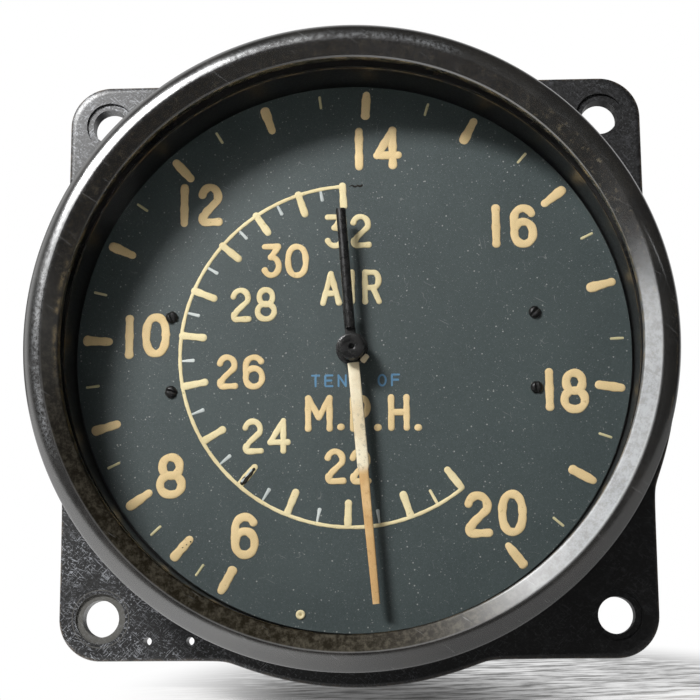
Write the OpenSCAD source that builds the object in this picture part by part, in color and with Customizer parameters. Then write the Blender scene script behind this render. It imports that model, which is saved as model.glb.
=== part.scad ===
// Panel airspeed indicator: a sealed black case with a two-turn dial, a gear train and a pressure capsule.
// Every piece is drawn with the dial facing up: x to the right, y up the dial and z out of the panel,
// with z = 0 on the front face of the flange. upright() then turns the dial to face the pilot.

/* [Panel flange] */
// Distance between neighbouring panel bolt holes
bolt_pitch = 68.6; // [66:0.1:72]
// Radius of the flange corners, which are round about the bolt holes
corner_r = 5.6; // [4.5:0.1:7]
// Thickness of the flange
flange_t = 3; // [2.4:0.1:6]
// Diameter of a panel bolt hole
bolt_hole_d = 4.9; // [4:0.1:5.4]
// Diameter of the spot face around a bolt hole
spot_d = 6.6; // [6:0.1:7.4]
// Depth of a spot face
spot_depth = 0.4; // [0.2:0.1:0.8]
// How far the round bulge stands past the flange edges
bulge_rise = 3.6; // [2.5:0.1:5]
// Radius of the hollow fillet between the bulge and a flange edge
bulge_fillet = 3; // [1:0.5:4]
// Diameter of the two sealing wire holes
wire_hole_d = 1.1; // [0.6:0.1:1.4]
// Distance of the sealing wire holes from the lower flange edge
wire_edge = 2.4; // [2:0.1:3]
// Distance between the two sealing wire holes
wire_pitch = 5.7; // [4:0.1:7]
// Distance of the left sealing wire hole from the left panel bolts
wire_inset = 6.4; // [5.6:0.1:8]

/* [Case] */
// Outer diameter of the body just behind the flange
body_d = 75; // [74:0.5:78]
// Wall of the body
body_wall = 3.5; // [3:0.1:4]
// Room behind the capsule for the pressure tube
rear_space = 14.3; // [13:0.1:20]
// Thickness of the rear wall
rear_wall = 5; // [4:0.1:6]
// How much smaller the rear of the body is, on the radius
body_draft = 0.9; // [0:0.1:1.5]
// Radius of the rear edge of the body
rear_edge = 4; // [2:0.5:5]
// Height of the drum in front of the flange
drum_h = 8; // [6:0.1:9]
// Height of the case rim in front of the flange
rim_h = 14.6; // [13.5:0.1:15.5]
// Wall of the neck that the bezel grips
neck_wall = 2.4; // [2:0.1:3]

/* [Bezel and glass] */
// Outer diameter of the bezel ring
bezel_d = 82.55; // [81:0.05:84]
// Wall of the bezel skirt
skirt_wall = 1.9; // [1.4:0.1:2.2]
// Gap between the skirt and the neck, and between the skirt and the drum
skirt_gap = 0.15; // [0.05:0.05:0.25]
// Thickness of the glass
glass_t = 2.4; // [2:0.1:3]
// Gap around and in front of the glass
glass_gap = 0.1; // [0.05:0.05:0.3]
// Thickness of the rubber gasket
gasket_t = 0.6; // [0.4:0.1:1]
// Thickness of the lip that holds the glass
lip_t = 1.3; // [1:0.1:1.6]
// Height of the rounded crest above the lip
crest_rise = 0.6; // [0.4:0.1:1.4]
// Height of the rounded outer band of the bezel
band_h = 1.4; // [0.8:0.1:3.6]
// Distance of the crest from the outer edge of the bezel
crest_inset = 2.3; // [1.4:0.1:2.8]
// Width of the bezel face from its outer edge to the lip
face_w = 4.6; // [4.2:0.1:5]

/* [Dial] */
// Height of the dial face in front of the flange
dial_h = 7.8; // [7.4:0.1:8.4]
// Thickness of the dial plate
dial_t = 0.8; // [0.5:0.1:1]
// Gap around the dial
dial_gap = 0.3; // [0.1:0.1:0.5]
// Diameter of the hole for the pointer arbor
dial_hole_d = 3.4; // [3:0.1:5.4]
// Height of the painted marks above the dial
mark_t = 0.12; // [0.06:0.02:0.2]
// Distance of the outer marks from the dial edge
mark_margin = 0.5; // [0.3:0.1:1]
// Length of an outer main mark
outer_major_l = 4.1; // [3:0.1:5]
// Width of an outer main mark
outer_major_w = 1.3; // [0.8:0.1:1.6]
// Length of an outer half mark
outer_minor_l = 2; // [1.2:0.1:2.8]
// Width of a half mark
minor_w = 0.45; // [0.3:0.05:0.7]
// Distance of the inner scale line from the dial edge
inner_margin = 13.5; // [13:0.02:16]
// Width of the inner scale line
inner_line_w = 0.5; // [0.3:0.05:0.8]
// Length of an inner main mark
inner_major_l = 3.3; // [2:0.1:4]
// Width of an inner main mark
inner_major_w = 1.05; // [0.7:0.05:1.4]
// Length of an inner half mark
inner_minor_l = 1.8; // [1:0.1:2.6]
// Diameter of the zero dot
zero_d = 1.25; // [0.8:0.05:1.8]
// Distance between the left and right pairs of dial screws
dial_screw_x = 48; // [44:0.5:50]
// Distance between the two dial screws of a pair
dial_screw_y = 10; // [8:0.5:11]
// Diameter of a dial screw head
dial_screw_head_d = 1.6; // [1.4:0.1:2.4]
// Height of a dial screw head
dial_screw_head_h = 0.6; // [0.4:0.1:0.8]

/* [Pointer] */
// Angle of the pointer at rest, clockwise from the top
pointer_rest = 175; // [165:1:185]
// Distance of the pointer tip from the dial edge
pointer_margin = 3.5; // [2:0.1:6]
// Length of the broad inner half of the pointer
pointer_inner_l = 15.7; // [12:0.1:20]
// Width of the broad inner half
pointer_inner_w = 1.55; // [1.3:0.05:2]
// Width of the outer half where it starts
pointer_outer_w = 1.28; // [1:0.02:1.3]
// Width of the pointer tip
pointer_tip_w = 0.95; // [0.4:0.05:1]
// Thickness of the pointer
pointer_t = 0.5; // [0.3:0.1:0.8]
// Gap between the dial and the pointer
pointer_lift = 2.4; // [2:0.1:3]
// Length of the tail from the pointer axis
tail_l = 19; // [15:0.5:22]
// Width of the half-round tail
tail_w = 1.3; // [1:0.1:1.8]
// Width of the short link that carries the tail
tail_link_w = 1.9; // [1.8:0.1:2.4]
// Diameter of the pointer hub
hub_d = 3.7; // [3.2:0.1:4]
// Height of the hub top above the dial
hub_h = 4.7; // [4.4:0.1:5.4]
// Thickness of the hub over the end of the arbor
hub_cap_t = 0.8; // [0.6:0.1:1]
// Diameter of the small hole in the face of the hub
hub_eye_d = 0.7; // [0.5:0.1:0.9]
// Diameter of the collar under the pointer
collar_d = 4.2; // [4:0.1:4.4]

/* [Movement plates] */
// Thickness of the front and back plates
plate_t = 1.4; // [1:0.1:1.8]
// Distance between the two plates
plate_space = 12.6; // [12:0.1:14]
// Height of the bar across the plates
plate_bar_h = 16; // [14:0.5:18]
// Gap between the plates and the body wall
plate_gap = 2; // [1:0.1:3]
// Diameter of a pillar and of a post
pillar_d = 4.4; // [4:0.1:5]
// Distance of a pillar axis from the plate edge
pillar_edge = 4; // [3.5:0.1:4.5]
// Direction of the upper pillar, counter-clockwise from the right
upper_pillar_dir = 68; // [62:1:72]

/* [Gear train] */
// Gear module
gear_module = 0.3; // [0.28:0.01:0.31]
// Teeth of the pointer pinion
pointer_teeth = 16; // [16:1:18]
// Teeth of the intermediate wheel
wheel_teeth = 40; // [38:1:42]
// Teeth of the intermediate pinion
pinion_teeth = 16; // [16:1:18]
// Teeth that the sector would have as a whole wheel
sector_teeth = 96; // [94:1:98]
// Direction from the pointer axis to the sector axis, counter-clockwise from the right
train_dir = 108.5; // [106:0.5:111]
// Thickness of the wheel and of the sector
gear_t = 1; // [0.8:0.1:1.2]
// Share of the tooth width taken off as backlash
backlash = 0.16; // [0.12:0.01:0.2]
// Diameter of the thicker part of each arbor
arbor_d = 2.2; // [2:0.1:2.4]
// Diameter of the pivots
pivot_d = 1; // [0.8:0.1:1.2]
// Running gap around a pivot
pivot_gap = 0.04; // [0.02:0.01:0.06]
// Gap where one piece is pressed or screwed into another
seat_gap = 0.02; // [0.01:0.01:0.04]
// Half angle of the sector
sector_half = 25; // [24:0.5:28]
// Width of the sector rim below the teeth
sector_rim_w = 2.5; // [2:0.1:3]
// Width of a sector spoke
spoke_w = 2.2; // [1.8:0.1:2.6]
// Distance of the drive pin from the sector axis
drive_pin_r = 8.9; // [8.4:0.1:9.2]
// Diameter of the drive pin
drive_pin_d = 0.8; // [0.7:0.05:1]
// Outer radius of the hairspring
spring_r = 5.2; // [4.6:0.1:5.6]
// Turns of the hairspring
spring_turns = 4; // [3:1:5]
// Thickness of the hairspring strip
spring_t = 0.16; // [0.1:0.02:0.2]

/* [Rocking shaft] */
// Gap between the end of the drive arm and the bracket
arm_clear = 0.6; // [0.4:0.1:1]
// Diameter of the rocking shaft
shaft_d = 2.4; // [2.2:0.1:2.8]
// Reach of the drive arm from the shaft to its finger
drive_arm_l = 14; // [12:0.1:16]
// Diameter of the finger on the drive arm
finger_d = 0.9; // [0.7:0.05:1.1]
// Gap between the finger and the drive pin, and between the capsule pin and its arm
drive_gap = 0.22; // [0.2:0.01:0.3]
// Thickness of the two arms
arm_t = 1; // [0.8:0.1:1.2]
// Width of the capsule arm
capsule_arm_w = 3; // [2.4:0.1:3.4]
// How far the capsule arm runs past the push pin
arm_over = 1.5; // [1:0.1:2]
// Distance of the drive arm above the drive pin
arm_above_pin = 2.6; // [2:0.1:3.2]
// Distance of the upper lug above the drive arm
lug_above_arm = 2; // [1.8:0.1:2.6]
// Distance of the lower lug below the push pin
lug_below_pin = 4; // [3.4:0.1:5]
// Diameter of the hubs of the two arms
arm_hub_d = 4.4; // [4:0.1:5]
// Height of the hub of the capsule arm
arm_hub_h = 3.6; // [3:0.1:4.4]
// Thickness of the bracket sheet
bracket_t = 1.2; // [1:0.1:1.4]
// Width of the bracket base
bracket_w = 13; // [12.6:0.1:14]

/* [Capsule and unions] */
// Thickness of the capsule at its middle
capsule_t = 10; // [9:0.1:10.5]
// Gap between the capsule and the posts
capsule_gap = 2.8; // [2:0.1:4]
// Thickness of the capsule sheet
capsule_sheet = 0.3; // [0.2:0.05:0.4]
// Number of ripples in each half of the capsule
capsule_ripples = 4; // [3:1:5]
// Height of a ripple to each side
ripple_h = 0.5; // [0.3:0.05:0.6]
// Diameter of the pin that pushes the arm
push_pin_d = 1.2; // [1:0.1:1.4]
// Length of the push pin
push_pin_l = 2.6; // [2.4:0.1:3]
// Diameter of the boss on the capsule
boss_d = 4.8; // [4.4:0.1:5.2]
// Thickness of the boss on the capsule
boss_t = 1.2; // [1:0.1:1.6]
// Diameter of the pillar that carries the capsule
capsule_pillar_d = 8; // [7:0.1:9]
// Distance of a union axis inside the ring of posts
union_inset = 12; // [11.6:0.1:12.4]
// Diameter of the union thread
union_thread_d = 13.15; // [12:0.05:13.6]
// Length of the union thread
union_thread_l = 12; // [10:0.5:16]
// Bore of a union
union_bore_d = 6; // [5:0.1:7]
// Width of the union hexagon across its flats
union_hex_w = 17; // [16:0.1:17.4]
// Thickness of the union hexagon
union_hex_t = 5; // [4:0.1:6]
// Diameter of the union stem through the rear wall
union_stem_d = 10; // [9:0.1:10.4]
// Thickness of the union washer
washer_t = 1; // [0.6:0.1:1.6]
// Thickness of the union nut
union_nut_t = 3.5; // [3:0.1:4]
// Width of the union nut across its flats
union_nut_w = 14; // [13:0.1:15]
// Outer diameter of the pressure tube
tube_d = 4; // [3.4:0.1:4.4]
// Wall of the pressure tube
tube_wall = 0.6; // [0.4:0.1:0.8]
// Bend radius of the pressure tube
tube_bend = 3.5; // [3:0.1:3.8]

/* [Screws] */
// Diameter of the movement screws in the rear wall
rear_screw_d = 3; // [2.6:0.1:3.2]
// Diameter of a movement screw head
rear_head_d = 5; // [4.6:0.1:5.4]
// Height of a movement screw head
rear_head_h = 1.8; // [1.4:0.1:2.4]
// Length of a movement screw in the post or pillar it holds
rear_grip = 5; // [4:0.1:5.4]
// Diameter of the small screws in the plates and the bracket
plate_screw_d = 1.8; // [1.4:0.1:2]
// Height of a bracket screw head
bracket_head_h = 0.9; // [0.7:0.1:1.1]
// Width of the screw slots
slot_w = 0.6; // [0.4:0.05:0.8]
// Depth of the slots in the flush plate screws
flush_slot_h = 0.4; // [0.3:0.05:0.5]

/* [Hidden] */
$fn = 72;
eps = 0.01;

// Scale law: angle of each half step, clockwise from the top, from 6 to 20 on the outer ring
outer_scale = [
    209, 215.2, 221.2, 228, 235.6, 245, 253.5, 263.1, 273.3, 284, 294.8, 305.6, 318, 329, 340.7,
    353.1, 363.4, 377.1, 387.8, 401.2, 412.5, 424, 435.4, 447.8, 458.5, 469.3, 479.2, 490.6, 502.2
];
// Angle of each whole step from 20 to 32 on the inner ring
inner_scale = [
    502.2, 521.2, 542, 562.3, 580.6, 599.5, 619.1, 636.4, 652.2, 670.3, 685.6, 701.6, 716.9
];
zero_angle = 191.5;
pointer_travel = 542;

// Case and bezel radii, from the outside in
bezel_r = bezel_d / 2;
skirt_in_r = bezel_r - skirt_wall;
neck_r = skirt_in_r - skirt_gap;
front_bore_r = neck_r - neck_wall;
dial_r = front_bore_r - dial_gap;
lip_r = bezel_r - face_w;
recess_step = 0.45;
recess_r = skirt_in_r - recess_step;
glass_r = recess_r - glass_gap;
body_r = body_d / 2;
inside_r = body_r - body_wall;
drum_r = bezel_r - skirt_gap;
flange_w = bolt_pitch + 2 * corner_r;
bulge_d = flange_w + 2 * bulge_rise;
inner_r = dial_r - inner_margin;
pointer_l = dial_r - pointer_margin;

// Heights, from the glass down to the rear wall
glass_z = rim_h + gasket_t;
lip_z = glass_z + glass_t + glass_gap;
face_z = lip_z + lip_t;
crest_z = face_z + crest_rise;
edge_z = crest_z - band_h;
dial_back = dial_h - dial_t;
dial_seat_gap = 0.2;
shoulder_z = dial_back - dial_seat_gap;
front_plate_z = dial_back - plate_t;
back_plate_top = front_plate_z - plate_space;
back_plate_z = back_plate_top - plate_t;

// Pillars and plates
plate_r = inside_r - plate_gap;
pillar_ring_r = plate_r - pillar_edge;
pillar_dirs = [0, upper_pillar_dir, 180];
pillar_r = pillar_d / 2;
stud_d = 2.4;
stud_reach = 4;
stud_l = plate_t + stud_reach;
pillar_hole_l = stud_reach + 1;
drill_over = 0.5;
lobe_margin = 4.6;

// Gear train
pointer_gear_r = gear_module * pointer_teeth / 2;
wheel_r = gear_module * wheel_teeth / 2;
pinion_r = gear_module * pinion_teeth / 2;
sector_r = gear_module * sector_teeth / 2;
tooth_tip = 0.9 * gear_module;
tooth_root = 1.25 * gear_module;
pressure_angle = 20;
wheel_dist = pointer_gear_r + wheel_r;
sector_dist = wheel_dist + pinion_r + sector_r;
wheel_at = wheel_dist * [cos(train_dir), sin(train_dir)];
sector_at = sector_dist * [cos(train_dir), sin(train_dir)];
train_ratio = (wheel_teeth / pointer_teeth) * (sector_teeth / pinion_teeth);
sector_swing = pointer_travel / train_ratio / 2;
mesh_dir = train_dir + 180;
sector_dir = mesh_dir + sector_swing;
pin_dir = -90 + sector_swing;
pin_at = sector_at + drive_pin_r * [cos(pin_dir), sin(pin_dir)];
wheel_drop = 3.6;
pinion_drop = 9.6;
pinion_l = 3.5;
pinion_over = 1.2;
wheel_z = front_plate_z - wheel_drop;
pinion_z = front_plate_z - pinion_drop;
sector_z = pinion_z + pinion_over;
pointer_pinion_z = wheel_z - pinion_over;
end_gap = 0.1;

// Rocking shaft: the drive arm swings as far sideways as the drive pin does
pin_swing = drive_pin_r * sin(sector_swing);
rock_swing = asin(pin_swing / drive_arm_l);
shaft_x = sector_at[0] + drive_pin_d / 2 + finger_d / 2 + drive_gap;
shaft_z = back_plate_z - bracket_t - arm_clear - arm_t - drive_arm_l;
finger_z = shaft_z + drive_arm_l;
pin_low_y = sector_at[1] - drive_pin_r;
pin_high_y = sector_at[1] - drive_pin_r * cos(sector_swing);
drive_arm_y = pin_high_y + arm_above_pin;
finger_over = 3;
finger_l = arm_above_pin + finger_over;
top_lug_y = drive_arm_y + lug_above_arm;
low_lug_y = -lug_below_pin;
lug_w = 5;
slot_gap = 0.6;
pin_slot_w = 2 * (pin_swing + drive_pin_d / 2 + slot_gap);
pin_slot_h = pin_high_y - pin_low_y + drive_pin_d + 2 * slot_gap;
bracket_pivot_d = 1.6;
bracket_screw_ys = [3, 9.5];
pin_over = 1.7;
sector_pin_end = finger_z - pin_over;

// Capsule: its pin follows the arm tip
capsule_r = pillar_ring_r - pillar_r - capsule_gap;
arm_reach = -shaft_x;
arm_swing = arm_reach * sin(rock_swing);
ball_z = shaft_z - arm_t / 2 - push_pin_d / 2 - drive_gap - arm_swing;
boss_top = ball_z - push_pin_l;
boss_gap = 0.05;
capsule_top = boss_top - boss_t - boss_gap;
capsule_mid = capsule_top - capsule_t / 2;
capsule_low = capsule_top - capsule_t;
capsule_rim_w = 2;
capsule_flat_r = 3.2;
bore_d = tube_d - 2 * tube_wall;

// Rear wall, as far behind the capsule as the pressure tube needs
rear_in = capsule_low - rear_space;
rear_out = rear_in - rear_wall;

// Unions
union_x = pillar_ring_r - union_inset;
stem_over = 1;
tube_rise = 0.5;
union_top = rear_in + union_nut_t + stem_over;
tube_seat = 3;
tube_run_z = union_top + tube_rise + tube_bend;
tube_insert = 2;

// Turns the dial from facing up to facing the pilot
module upright() rotate([90, 0, 0]) children();

// A ring of copies at the three pillar places
module at_pillars() for (a = pillar_dirs) rotate(a) translate([pillar_ring_r, 0, 0]) rotate(-a) children();

// A plain cylinder from z0 up to z1
module rod(d, z0, z1) translate([0, 0, z0]) cylinder(d = d, h = z1 - z0);

// Points of an ellipse arc about c with half axes a and b
function arc_points(c, a, b, from, to, steps) =
    [for (i = [0:steps]) let (t = from + (to - from) * i / steps) c + [a * cos(t), b * sin(t)]];

// A polar point
function polar(r, a) = [r * cos(a), r * sin(a)];

// Involute function, in degrees
function involute(a) = tan(a) * 180 / PI - a;

// Half the angle that a tooth spans at radius r
function tooth_half(teeth, r) =
    let (pitch = gear_module * teeth / 2, base = pitch * cos(pressure_angle))
    90 / teeth * (1 - backlash) + involute(pressure_angle) - involute(acos(base / max(base, r)));

// Radii at which a tooth flank is drawn
function flank_radii(teeth) =
    let (pitch = gear_module * teeth / 2, base = pitch * cos(pressure_angle), root = pitch - tooth_root)
    concat([root], base > root ? [base] : [], [pitch, pitch + tooth_tip]);

// Outline of one tooth at angle a, from one root to the other
function tooth_points(teeth, a) =
    let (radii = flank_radii(teeth), n = len(radii))
    concat([for (r = radii) polar(r, a - tooth_half(teeth, r))],
           [for (i = [n - 1:-1:0]) polar(radii[i], a + tooth_half(teeth, radii[i]))]);

// Outline of a whole wheel with one tooth at angle a
module wheel_outline(teeth, a) {
    step = 360 / teeth;
    polygon([for (i = [0:teeth - 1]) each tooth_points(teeth, a + i * step)]);
}

// A mark with round ends, from radius r - l out to r, at an angle clockwise from the top
module mark(angle, r, l, w) rotate(-angle) {
    translate([-w / 2, r - l + w / 2]) square([w, l - w]);
    for (y = [r - l + w / 2, r - w / 2]) translate([0, y]) circle(d = w);
}

// A slotted screw with its head above z = 0 and its shank below
module slotted_screw(head_d, head_h, shank_d, shank_l, slot) difference() {
    union() {
        rod(head_d, 0, head_h);
        rod(shank_d, -shank_l, eps);
    }
    translate([-head_d, -slot / 2, head_h * 0.5]) cube([2 * head_d, slot, head_h]);
}

// Flange outline: a square with round corners, the round bulge and the fillets between them
module flange_outline() {
    half = flange_w / 2;
    inner = bolt_pitch / 2;
    square([flange_w, bolt_pitch], center = true);
    square([bolt_pitch, flange_w], center = true);
    for (x = [-inner, inner], y = [-inner, inner]) translate([x, y]) circle(r = corner_r);
    circle(d = bulge_d);
    for (a = [0:90:270], m = [0, 1]) rotate(a) mirror([m, 0]) bulge_web(half);
}

// The hollow fillet between the bulge and one flange edge
module bulge_web(half) {
    reach = bulge_d / 2 + bulge_fillet;
    cy = half + bulge_fillet;
    cx = sqrt(reach * reach - cy * cy);
    touch = [cx, cy] * (bulge_d / 2) / reach;
    difference() {
        polygon([touch, [cx, half], [cx, half - 1], [touch[0] - 1, half - 1]]);
        translate([cx, cy]) circle(r = bulge_fillet);
    }
}

// Section of the case outside, revolved about the dial axis
module case_section() {
    rear_r = body_r - body_draft;
    polygon(concat(
        [[0, rear_out]],
        arc_points([rear_r - rear_edge, rear_out + rear_edge], rear_edge, rear_edge, -90, 0, 6),
        [[body_r, -flange_t], [drum_r, -flange_t], [drum_r, drum_h], [neck_r, drum_h],
         [neck_r, rim_h], [0, rim_h]]));
}

module case() color([0.07, 0.07, 0.075]) upright() difference() {
    union() {
        rotate_extrude() case_section();
        translate([0, 0, -flange_t]) linear_extrude(flange_t) flange_outline();
    }
    rod(2 * inside_r, rear_in, shoulder_z + eps);
    rod(2 * front_bore_r, shoulder_z, rim_h + 1);
    for (x = [-1, 1], y = [-1, 1]) translate([x, y, 0] * bolt_pitch / 2) {
        rod(bolt_hole_d, -flange_t - 1, 1);
        rod(spot_d, -spot_depth, 1);
    }
    for (i = [0, 1]) translate([i * wire_pitch + wire_inset - bolt_pitch / 2, wire_edge - flange_w / 2, 0])
        rod(wire_hole_d, -flange_t - 1, 1);
    for (x = [-union_x, union_x]) translate([x, 0, 0])
        rod(union_stem_d + 2 * seat_gap, rear_out - 1, rear_in + 1);
    at_pillars() rod(rear_screw_d + 2 * seat_gap, rear_out - 1, rear_in + 1);
    rod(rear_screw_d + 2 * seat_gap, rear_out - 1, rear_in + 1);
}

module bezel_ring() color([0.05, 0.05, 0.052]) upright() rotate_extrude() {
    crest_r = bezel_r - crest_inset;
    lip_edge = 0.3;
    skirt_low = drum_h + skirt_gap;
    polygon(concat(
        [[skirt_in_r, skirt_low], [bezel_r, skirt_low]],
        arc_points([crest_r, edge_z], crest_inset, band_h, 0, 90, 8),
        [[crest_r - lip_edge, crest_z - lip_edge / 4], [lip_r + lip_edge, face_z],
         [lip_r, face_z - lip_edge], [lip_r, lip_z], [recess_r, lip_z],
         [recess_r, rim_h + skirt_gap], [skirt_in_r, rim_h + skirt_gap]]));
}

module glass() color([0.85, 0.9, 0.9, 0.3]) upright() rod(2 * glass_r, glass_z, glass_z + glass_t);

module glass_gasket() color([0.12, 0.12, 0.12]) upright() difference() {
    rod(2 * (neck_r - glass_gap - recess_step), rim_h, glass_z);
    rod(2 * front_bore_r, rim_h - 1, glass_z + 1);
}

// The four dial screw places
module at_dial_screws() for (x = [-1, 1], y = [-1, 1])
    translate([x * dial_screw_x / 2, y * dial_screw_y / 2, 0]) children();

dial_shank_d = dial_screw_head_d * 0.6;

module dial() color([0.24, 0.26, 0.26]) upright() difference() {
    rod(2 * dial_r, dial_back, dial_h);
    rod(dial_hole_d, dial_back - 1, dial_h + 1);
    at_dial_screws() rod(dial_shank_d + 2 * seat_gap, dial_back - 1, dial_h + 1);
}

module scale_marks() color([0.84, 0.75, 0.57]) upright() translate([0, 0, dial_h]) {
    rim = dial_r - mark_margin;
    steps = len(outer_scale) - 1;
    linear_extrude(mark_t) {
        for (i = [0:2:steps]) mark(outer_scale[i], rim, outer_major_l, outer_major_w);
        for (i = [1:2:steps]) mark(outer_scale[i], rim, outer_minor_l, minor_w);
        rotate(-zero_angle) translate([0, rim - zero_d]) circle(d = zero_d);
    }
    inner_scale_line();
}

// The inner scale: an arc with main marks and half marks inside it
module inner_scale_line() {
    last = len(inner_scale) - 1;
    span = inner_scale[last] - inner_scale[0];
    rotate(90 - inner_scale[last]) rotate_extrude(angle = span)
        translate([inner_r - inner_line_w, 0]) square([inner_line_w, mark_t]);
    linear_extrude(mark_t) {
        for (a = inner_scale) mark(a, inner_r, inner_major_l, inner_major_w);
        for (i = [1:last])
            mark((inner_scale[i - 1] + inner_scale[i]) / 2, inner_r, inner_minor_l, minor_w);
    }
}

module dial_screws() color([0.06, 0.06, 0.06]) upright() translate([0, 0, dial_h])
    at_dial_screws()
        slotted_screw(dial_screw_head_d, dial_screw_head_h, dial_shank_d, dial_t + plate_t, slot_w / 2);

pointer_z = dial_h + pointer_lift;
pointer_top = pointer_z + pointer_t;
hub_top = dial_h + hub_h;
link_l = 6;
arbor_nose_d = 1.6;

// Turns a pointer piece that is drawn pointing up to its angle at rest
module at_rest() rotate(-pointer_rest) children();

module pointer() color([0.8, 0.72, 0.5]) upright() at_rest()
    translate([0, 0, pointer_z]) linear_extrude(pointer_t) difference() {
        union() {
            circle(d = collar_d);
            translate([-pointer_inner_w / 2, 0]) square([pointer_inner_w, pointer_inner_l]);
            polygon([[-pointer_outer_w / 2, 0], [pointer_outer_w / 2, 0],
                     [pointer_outer_w / 2, pointer_inner_l], [pointer_tip_w / 2, pointer_l],
                     [-pointer_tip_w / 2, pointer_l], [-pointer_outer_w / 2, pointer_inner_l]]);
            translate([-tail_link_w / 2, -link_l]) square([tail_link_w, link_l]);
        }
        circle(d = hub_bore_d + 2 * seat_gap);
    }

hub_bore_d = 2.6;
tail_gap = 0.8;
tail_start = hub_d / 2 + tail_gap;
collar_t = 0.7;

// The half-round tail lies on the link, with its round side to the front
module pointer_tail() color([0.06, 0.06, 0.06]) upright() at_rest() translate([0, 0, pointer_top])
    intersection() {
        translate([0, -tail_start, 0]) rotate([90, 0, 0]) cylinder(d = tail_w, h = tail_l - tail_start);
        translate([-tail_w, -tail_l - drill_over, 0]) cube([2 * tail_w, tail_l, tail_w]);
    }

// The hub is a bush: a collar under the pointer, a neck through it and a round head on top
module pointer_hub() color([0.1, 0.1, 0.1]) upright() difference() {
    union() {
        rod(collar_d, pointer_z - collar_t, pointer_z);
        rod(hub_bore_d, pointer_z - eps, pointer_top + eps);
        rod(hub_d, pointer_top, hub_top);
    }
    rod(arbor_nose_d + 2 * seat_gap, pointer_z - collar_t - drill_over, hub_top - hub_cap_t);
    rod(hub_eye_d, hub_top - hub_cap_t - eps, hub_top + drill_over);
}

// An arbor between the plates, with a pivot in each
module arbor_body(d) {
    rod(d, back_plate_top + end_gap, front_plate_z - end_gap);
    rod(pivot_d, back_plate_z + end_gap, dial_back - end_gap);
}

// The pointer arbor runs on through the front plate and the dial to the hub
module pointer_arbor() color([0.72, 0.72, 0.7]) upright() {
    rod(pivot_d, back_plate_z + end_gap, back_plate_top + 2 * end_gap);
    rod(arbor_d, back_plate_top + end_gap, pointer_z - 1);
    rod(arbor_nose_d, pointer_z - 1 - eps, hub_top - hub_cap_t - end_gap);
    translate([0, 0, pointer_pinion_z]) linear_extrude(pinion_l)
        wheel_outline(pointer_teeth, train_dir);
}

collet_d = 3.6;
spring_z = back_plate_top + 1.2;
spring_h = 0.6;
spring_start = collet_d / 2 + 0.1;

// Centre line radius of the hairspring after turning by a
function spring_at(a) = spring_start + (spring_r - spring_start) * a / (360 * spring_turns);

module hairspring() color([0.3, 0.35, 0.5]) upright() translate([0, 0, spring_z]) linear_extrude(spring_h) {
    turns = [for (a = [0:15:360 * spring_turns]) a];
    back = [for (i = [len(turns) - 1:-1:0]) turns[i]];
    polygon(concat([for (a = turns) polar(spring_at(a) + spring_t, a)],
                   [for (a = back) polar(spring_at(a), a)]));
}

module hairspring_collet() color([0.75, 0.62, 0.32]) upright() difference() {
    rod(collet_d, spring_z - 0.2, spring_z + spring_h + 0.2);
    rod(arbor_d + 2 * seat_gap, spring_z - 1, spring_z + spring_h + 1);
}

stud_post_d = 1.2;

// The stud stands on the back plate just outside the end of the spring
module hairspring_stud() color([0.75, 0.62, 0.32]) upright()
    translate([spring_r + spring_t + stud_post_d / 2 + 0.1, 0, 0])
        rod(stud_post_d, back_plate_top, spring_z + spring_h + 0.4);

// Outline shared by the two movement plates: a bar across the case and a lobe above it
module plate_outline() intersection() {
    circle(r = plate_r);
    union() {
        square([2 * plate_r, plate_bar_h], center = true);
        translate([sector_at[0] - lobe_margin, 0])
            square([polar(pillar_ring_r, upper_pillar_dir)[0] - sector_at[0] + 2 * lobe_margin, plate_r]);
    }
}

// The gear places that need a pivot hole in both plates
module at_pivots() for (p = [wheel_at, sector_at]) translate(p) children();

module front_plate() color([0.78, 0.65, 0.34]) upright() difference() {
    translate([0, 0, front_plate_z]) linear_extrude(plate_t) plate_outline();
    at_pivots() rod(pivot_d + 2 * pivot_gap, front_plate_z - 1, dial_back + 1);
    rod(arbor_d + 2 * pivot_gap, front_plate_z - 1, dial_back + 1);
    at_dial_screws() rod(dial_shank_d + 2 * seat_gap, front_plate_z - 1, dial_back + 1);
    at_pillars() translate([0, 0, dial_back]) countersink(seat_gap);
}

module back_plate() color([0.78, 0.65, 0.34]) upright() difference() {
    translate([0, 0, back_plate_z]) linear_extrude(plate_t) plate_outline();
    at_pivots() rod(pivot_d + 2 * pivot_gap, back_plate_z - 1, back_plate_top + 1);
    rod(pivot_d + 2 * pivot_gap, back_plate_z - 1, back_plate_top + 1);
    at_pillars() rod(stud_d + 2 * seat_gap, back_plate_z - 1, back_plate_top + 1);
    drive_pin_slot(back_plate_z, back_plate_top);
    at_bracket_screws() rod(plate_screw_d + 2 * seat_gap, back_plate_z - 1, back_plate_top + 1);
}

// The slot in which the drive pin swings
module drive_pin_slot(z0, z1) translate([sector_at[0], (pin_low_y + pin_high_y) / 2, (z0 + z1) / 2])
    cube([pin_slot_w, pin_slot_h, z1 - z0 + 2 * drill_over], center = true);

// The two places where screws hold the bracket
module at_bracket_screws() for (y = bracket_screw_ys) translate([shaft_x, y, 0]) children();

// A flush screw with its face at z = 0, made larger all round by grow
module countersink(grow) {
    depth = plate_screw_d / 2;
    translate([0, 0, -depth]) cylinder(r1 = depth + grow, r2 = 2 * depth + 2 * grow, h = depth + grow);
    rod(2 * (depth + grow), -plate_t - pillar_hole_l + 1, 0);
}

module plate_pillars() color([0.78, 0.65, 0.34]) upright() at_pillars() difference() {
    rod(pillar_d, back_plate_top, front_plate_z);
    rod(plate_screw_d + 2 * seat_gap, front_plate_z - pillar_hole_l, front_plate_z + 1);
    rod(stud_d + 2 * seat_gap, back_plate_top - 1, back_plate_top + pillar_hole_l);
}

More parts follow.
